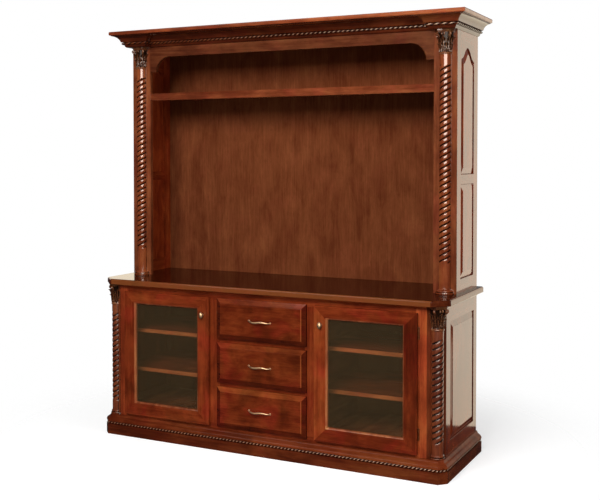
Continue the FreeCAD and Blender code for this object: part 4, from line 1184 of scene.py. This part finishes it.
# %% World
AMBIENT = 0.26
FRONT_GLOSS = 0.02
BACK_GLOSS = 0.30
LEFT_GLOSS = 1.9
WHITE = (1.0, 1.0, 1.0)
CREAM = (1.0, 0.86, 0.66)
WALL_BACK = (0.68, 0.9)
WALL_FOOT = (-0.30, -0.15)
CREAM_FOOT = (0.0, 0.08)
CREAM_HEAD = (0.36, 0.24)
CREAM_LEFT = (-0.34, -0.56)
CREAM_BACK = (0.50, 0.66)
world = bpy.data.worlds.new("studio")
bpy.context.scene.world = world
sky = Finish("studio", world)
camera_ray = sky.add("ShaderNodeLightPath", out="Is Camera Ray")
glossy_ray = camera_ray.beside("Is Glossy Ray")
through_ray = camera_ray.beside("Is Transmission Ray")
heading = sky.add("ShaderNodeTexCoord", out="Generated")
to_right = sky.add("ShaderNodeSeparateXYZ", sockets={0: heading})
to_back = to_right.beside(1)
to_top = to_right.beside(2)
behind = sky.spread(to_back, *WALL_BACK) * sky.spread(to_top, *WALL_FOOT)
low_down = sky.spread(to_top, *CREAM_FOOT) * sky.spread(to_top, *CREAM_HEAD)
aside = sky.spread(to_right, *CREAM_LEFT) * sky.spread(to_back, *CREAM_BACK)
cream = glossy_ray * aside * low_down
mirrored = glossy_ray * (behind * (BACK_GLOSS - FRONT_GLOSS) + FRONT_GLOSS) + cream * LEFT_GLOSS
other = 1 - camera_ray - glossy_ray - through_ray
sky.fill(sky.tree.nodes["Background"], {
    "Color": sky.blend(cream, (*WHITE, 1.0), (*CREAM, 1.0)),
    "Strength": camera_ray + mirrored + through_ray + other * AMBIENT})
print("world", len(sky.tree.nodes), "nodes")

# %% [markdown]
# ## Floor
# A plain pale floor has to meet a white background with no edge, and still take the cabinet's shadow. A huge
# plane would need its brightness tuned to white. A disc that fades out by Alpha meets white anywhere, and a
# little emission, seen by the camera alone, lifts it without more light on the cabinet.

# %% Pale floor
FLOOR_REACH = 1.9
FLOOR_FADE = 0.7
FLOOR_LIFT = 0.46
FLOOR_SIDES = 96


def pale_floor():
    finish = Finish("pale_floor")
    x, y, z = finish.place()
    fade = finish.spread((x * x + y * y) ** 0.5, FLOOR_FADE, FLOOR_REACH)
    paper = finish.noise(finish.vector(x, y, z), 300.0, 2.0)
    shade = finish.ramp(paper, (0.0, (0.80, 0.80, 0.80)), (1.0, (0.84, 0.84, 0.84)))
    seen = finish.add("ShaderNodeLightPath", out="Is Camera Ray")
    lift = finish.blend(seen, (0.0, 0.0, 0.0, 1.0), (FLOOR_LIFT, FLOOR_LIFT, FLOOR_LIFT, 1.0))
    return finish.surface(
        Base_Color=shade, Roughness=0.9, Specular_IOR_Level=0.1, Alpha=1 - fade, Emission_Color=lift,
        Emission_Strength=1.0)


bpy.ops.mesh.primitive_circle_add(vertices=FLOOR_SIDES, radius=FLOOR_REACH, fill_type="NGON")
floor = bpy.context.object
floor.name = "floor"
floor.visible_glossy = False
floor.data.materials.append(pale_floor())
print("floor", FLOOR_REACH, "m to its rim")

# %% [markdown]
# ## Lamps
# Soft boxes light the cabinet as a studio would. A lamp both brightens wood and shows as a sheen in its
# lacquer, and the two seldom belong in the same place. So two lamps only brighten, from the front and the
# right. Three only show in the lacquer: a wide warm one for the front, a smaller one that gives the columns
# their bright line, and a tall sheet behind, which turns the right side pale.

# %% Soft boxes
WARM = (1.0, 0.87, 0.75)
STRAW = (1.0, 0.88, 0.66)
LAMPS = {
    "front": ((0.3, -4.2, 3.2), (0.0, 0.0, 0.9), (2.4, 1.6), 205, WHITE, "visible_glossy"),
    "shine": ((2.0, -3.9, 2.3), (0.5, -0.1, 2.3), (4.3, 1.9), 480, WARM, "visible_diffuse"),
    "glint": ((-1.9, -3.8, 3.5), (0.0, -0.2, 0.6), (2.6, 1.4), 52, WARM, "visible_diffuse"),
    "sheet": ((1.86, 4.77, 1.81), (1.754, 4.417, 2.647), (2.6, 9.0), 128, STRAW, "visible_diffuse"),
    "fill": ((4.2, -1.4, 1.3), (0.9, 0.0, 0.6), (1.6, 1.6), 45, WHITE, "visible_glossy")}


def softbox(name, place, aim, size, watts, colour, unseen):
    """An area lamp that looks from place to aim. Unseen is the kind of light that it doesn't give."""
    light = bpy.data.lights.new(name, "AREA")
    light.shape = "RECTANGLE"
    light.size, light.size_y = size
    light.energy = watts
    light.color = colour
    lamp = bpy.data.objects.new(name, light)
    lamp.location = place
    lamp.rotation_euler = (Vector(aim) - Vector(place)).to_track_quat("-Z", "Y").to_euler()
    lamp.visible_camera = False
    setattr(lamp, unseen, False)
    bpy.context.scene.collection.objects.link(lamp)


for name, settings in LAMPS.items():
    softbox(name, *settings)
print("lamps", *LAMPS)

# %% Finish
bpy.context.scene.view_settings.view_transform = "Standard"
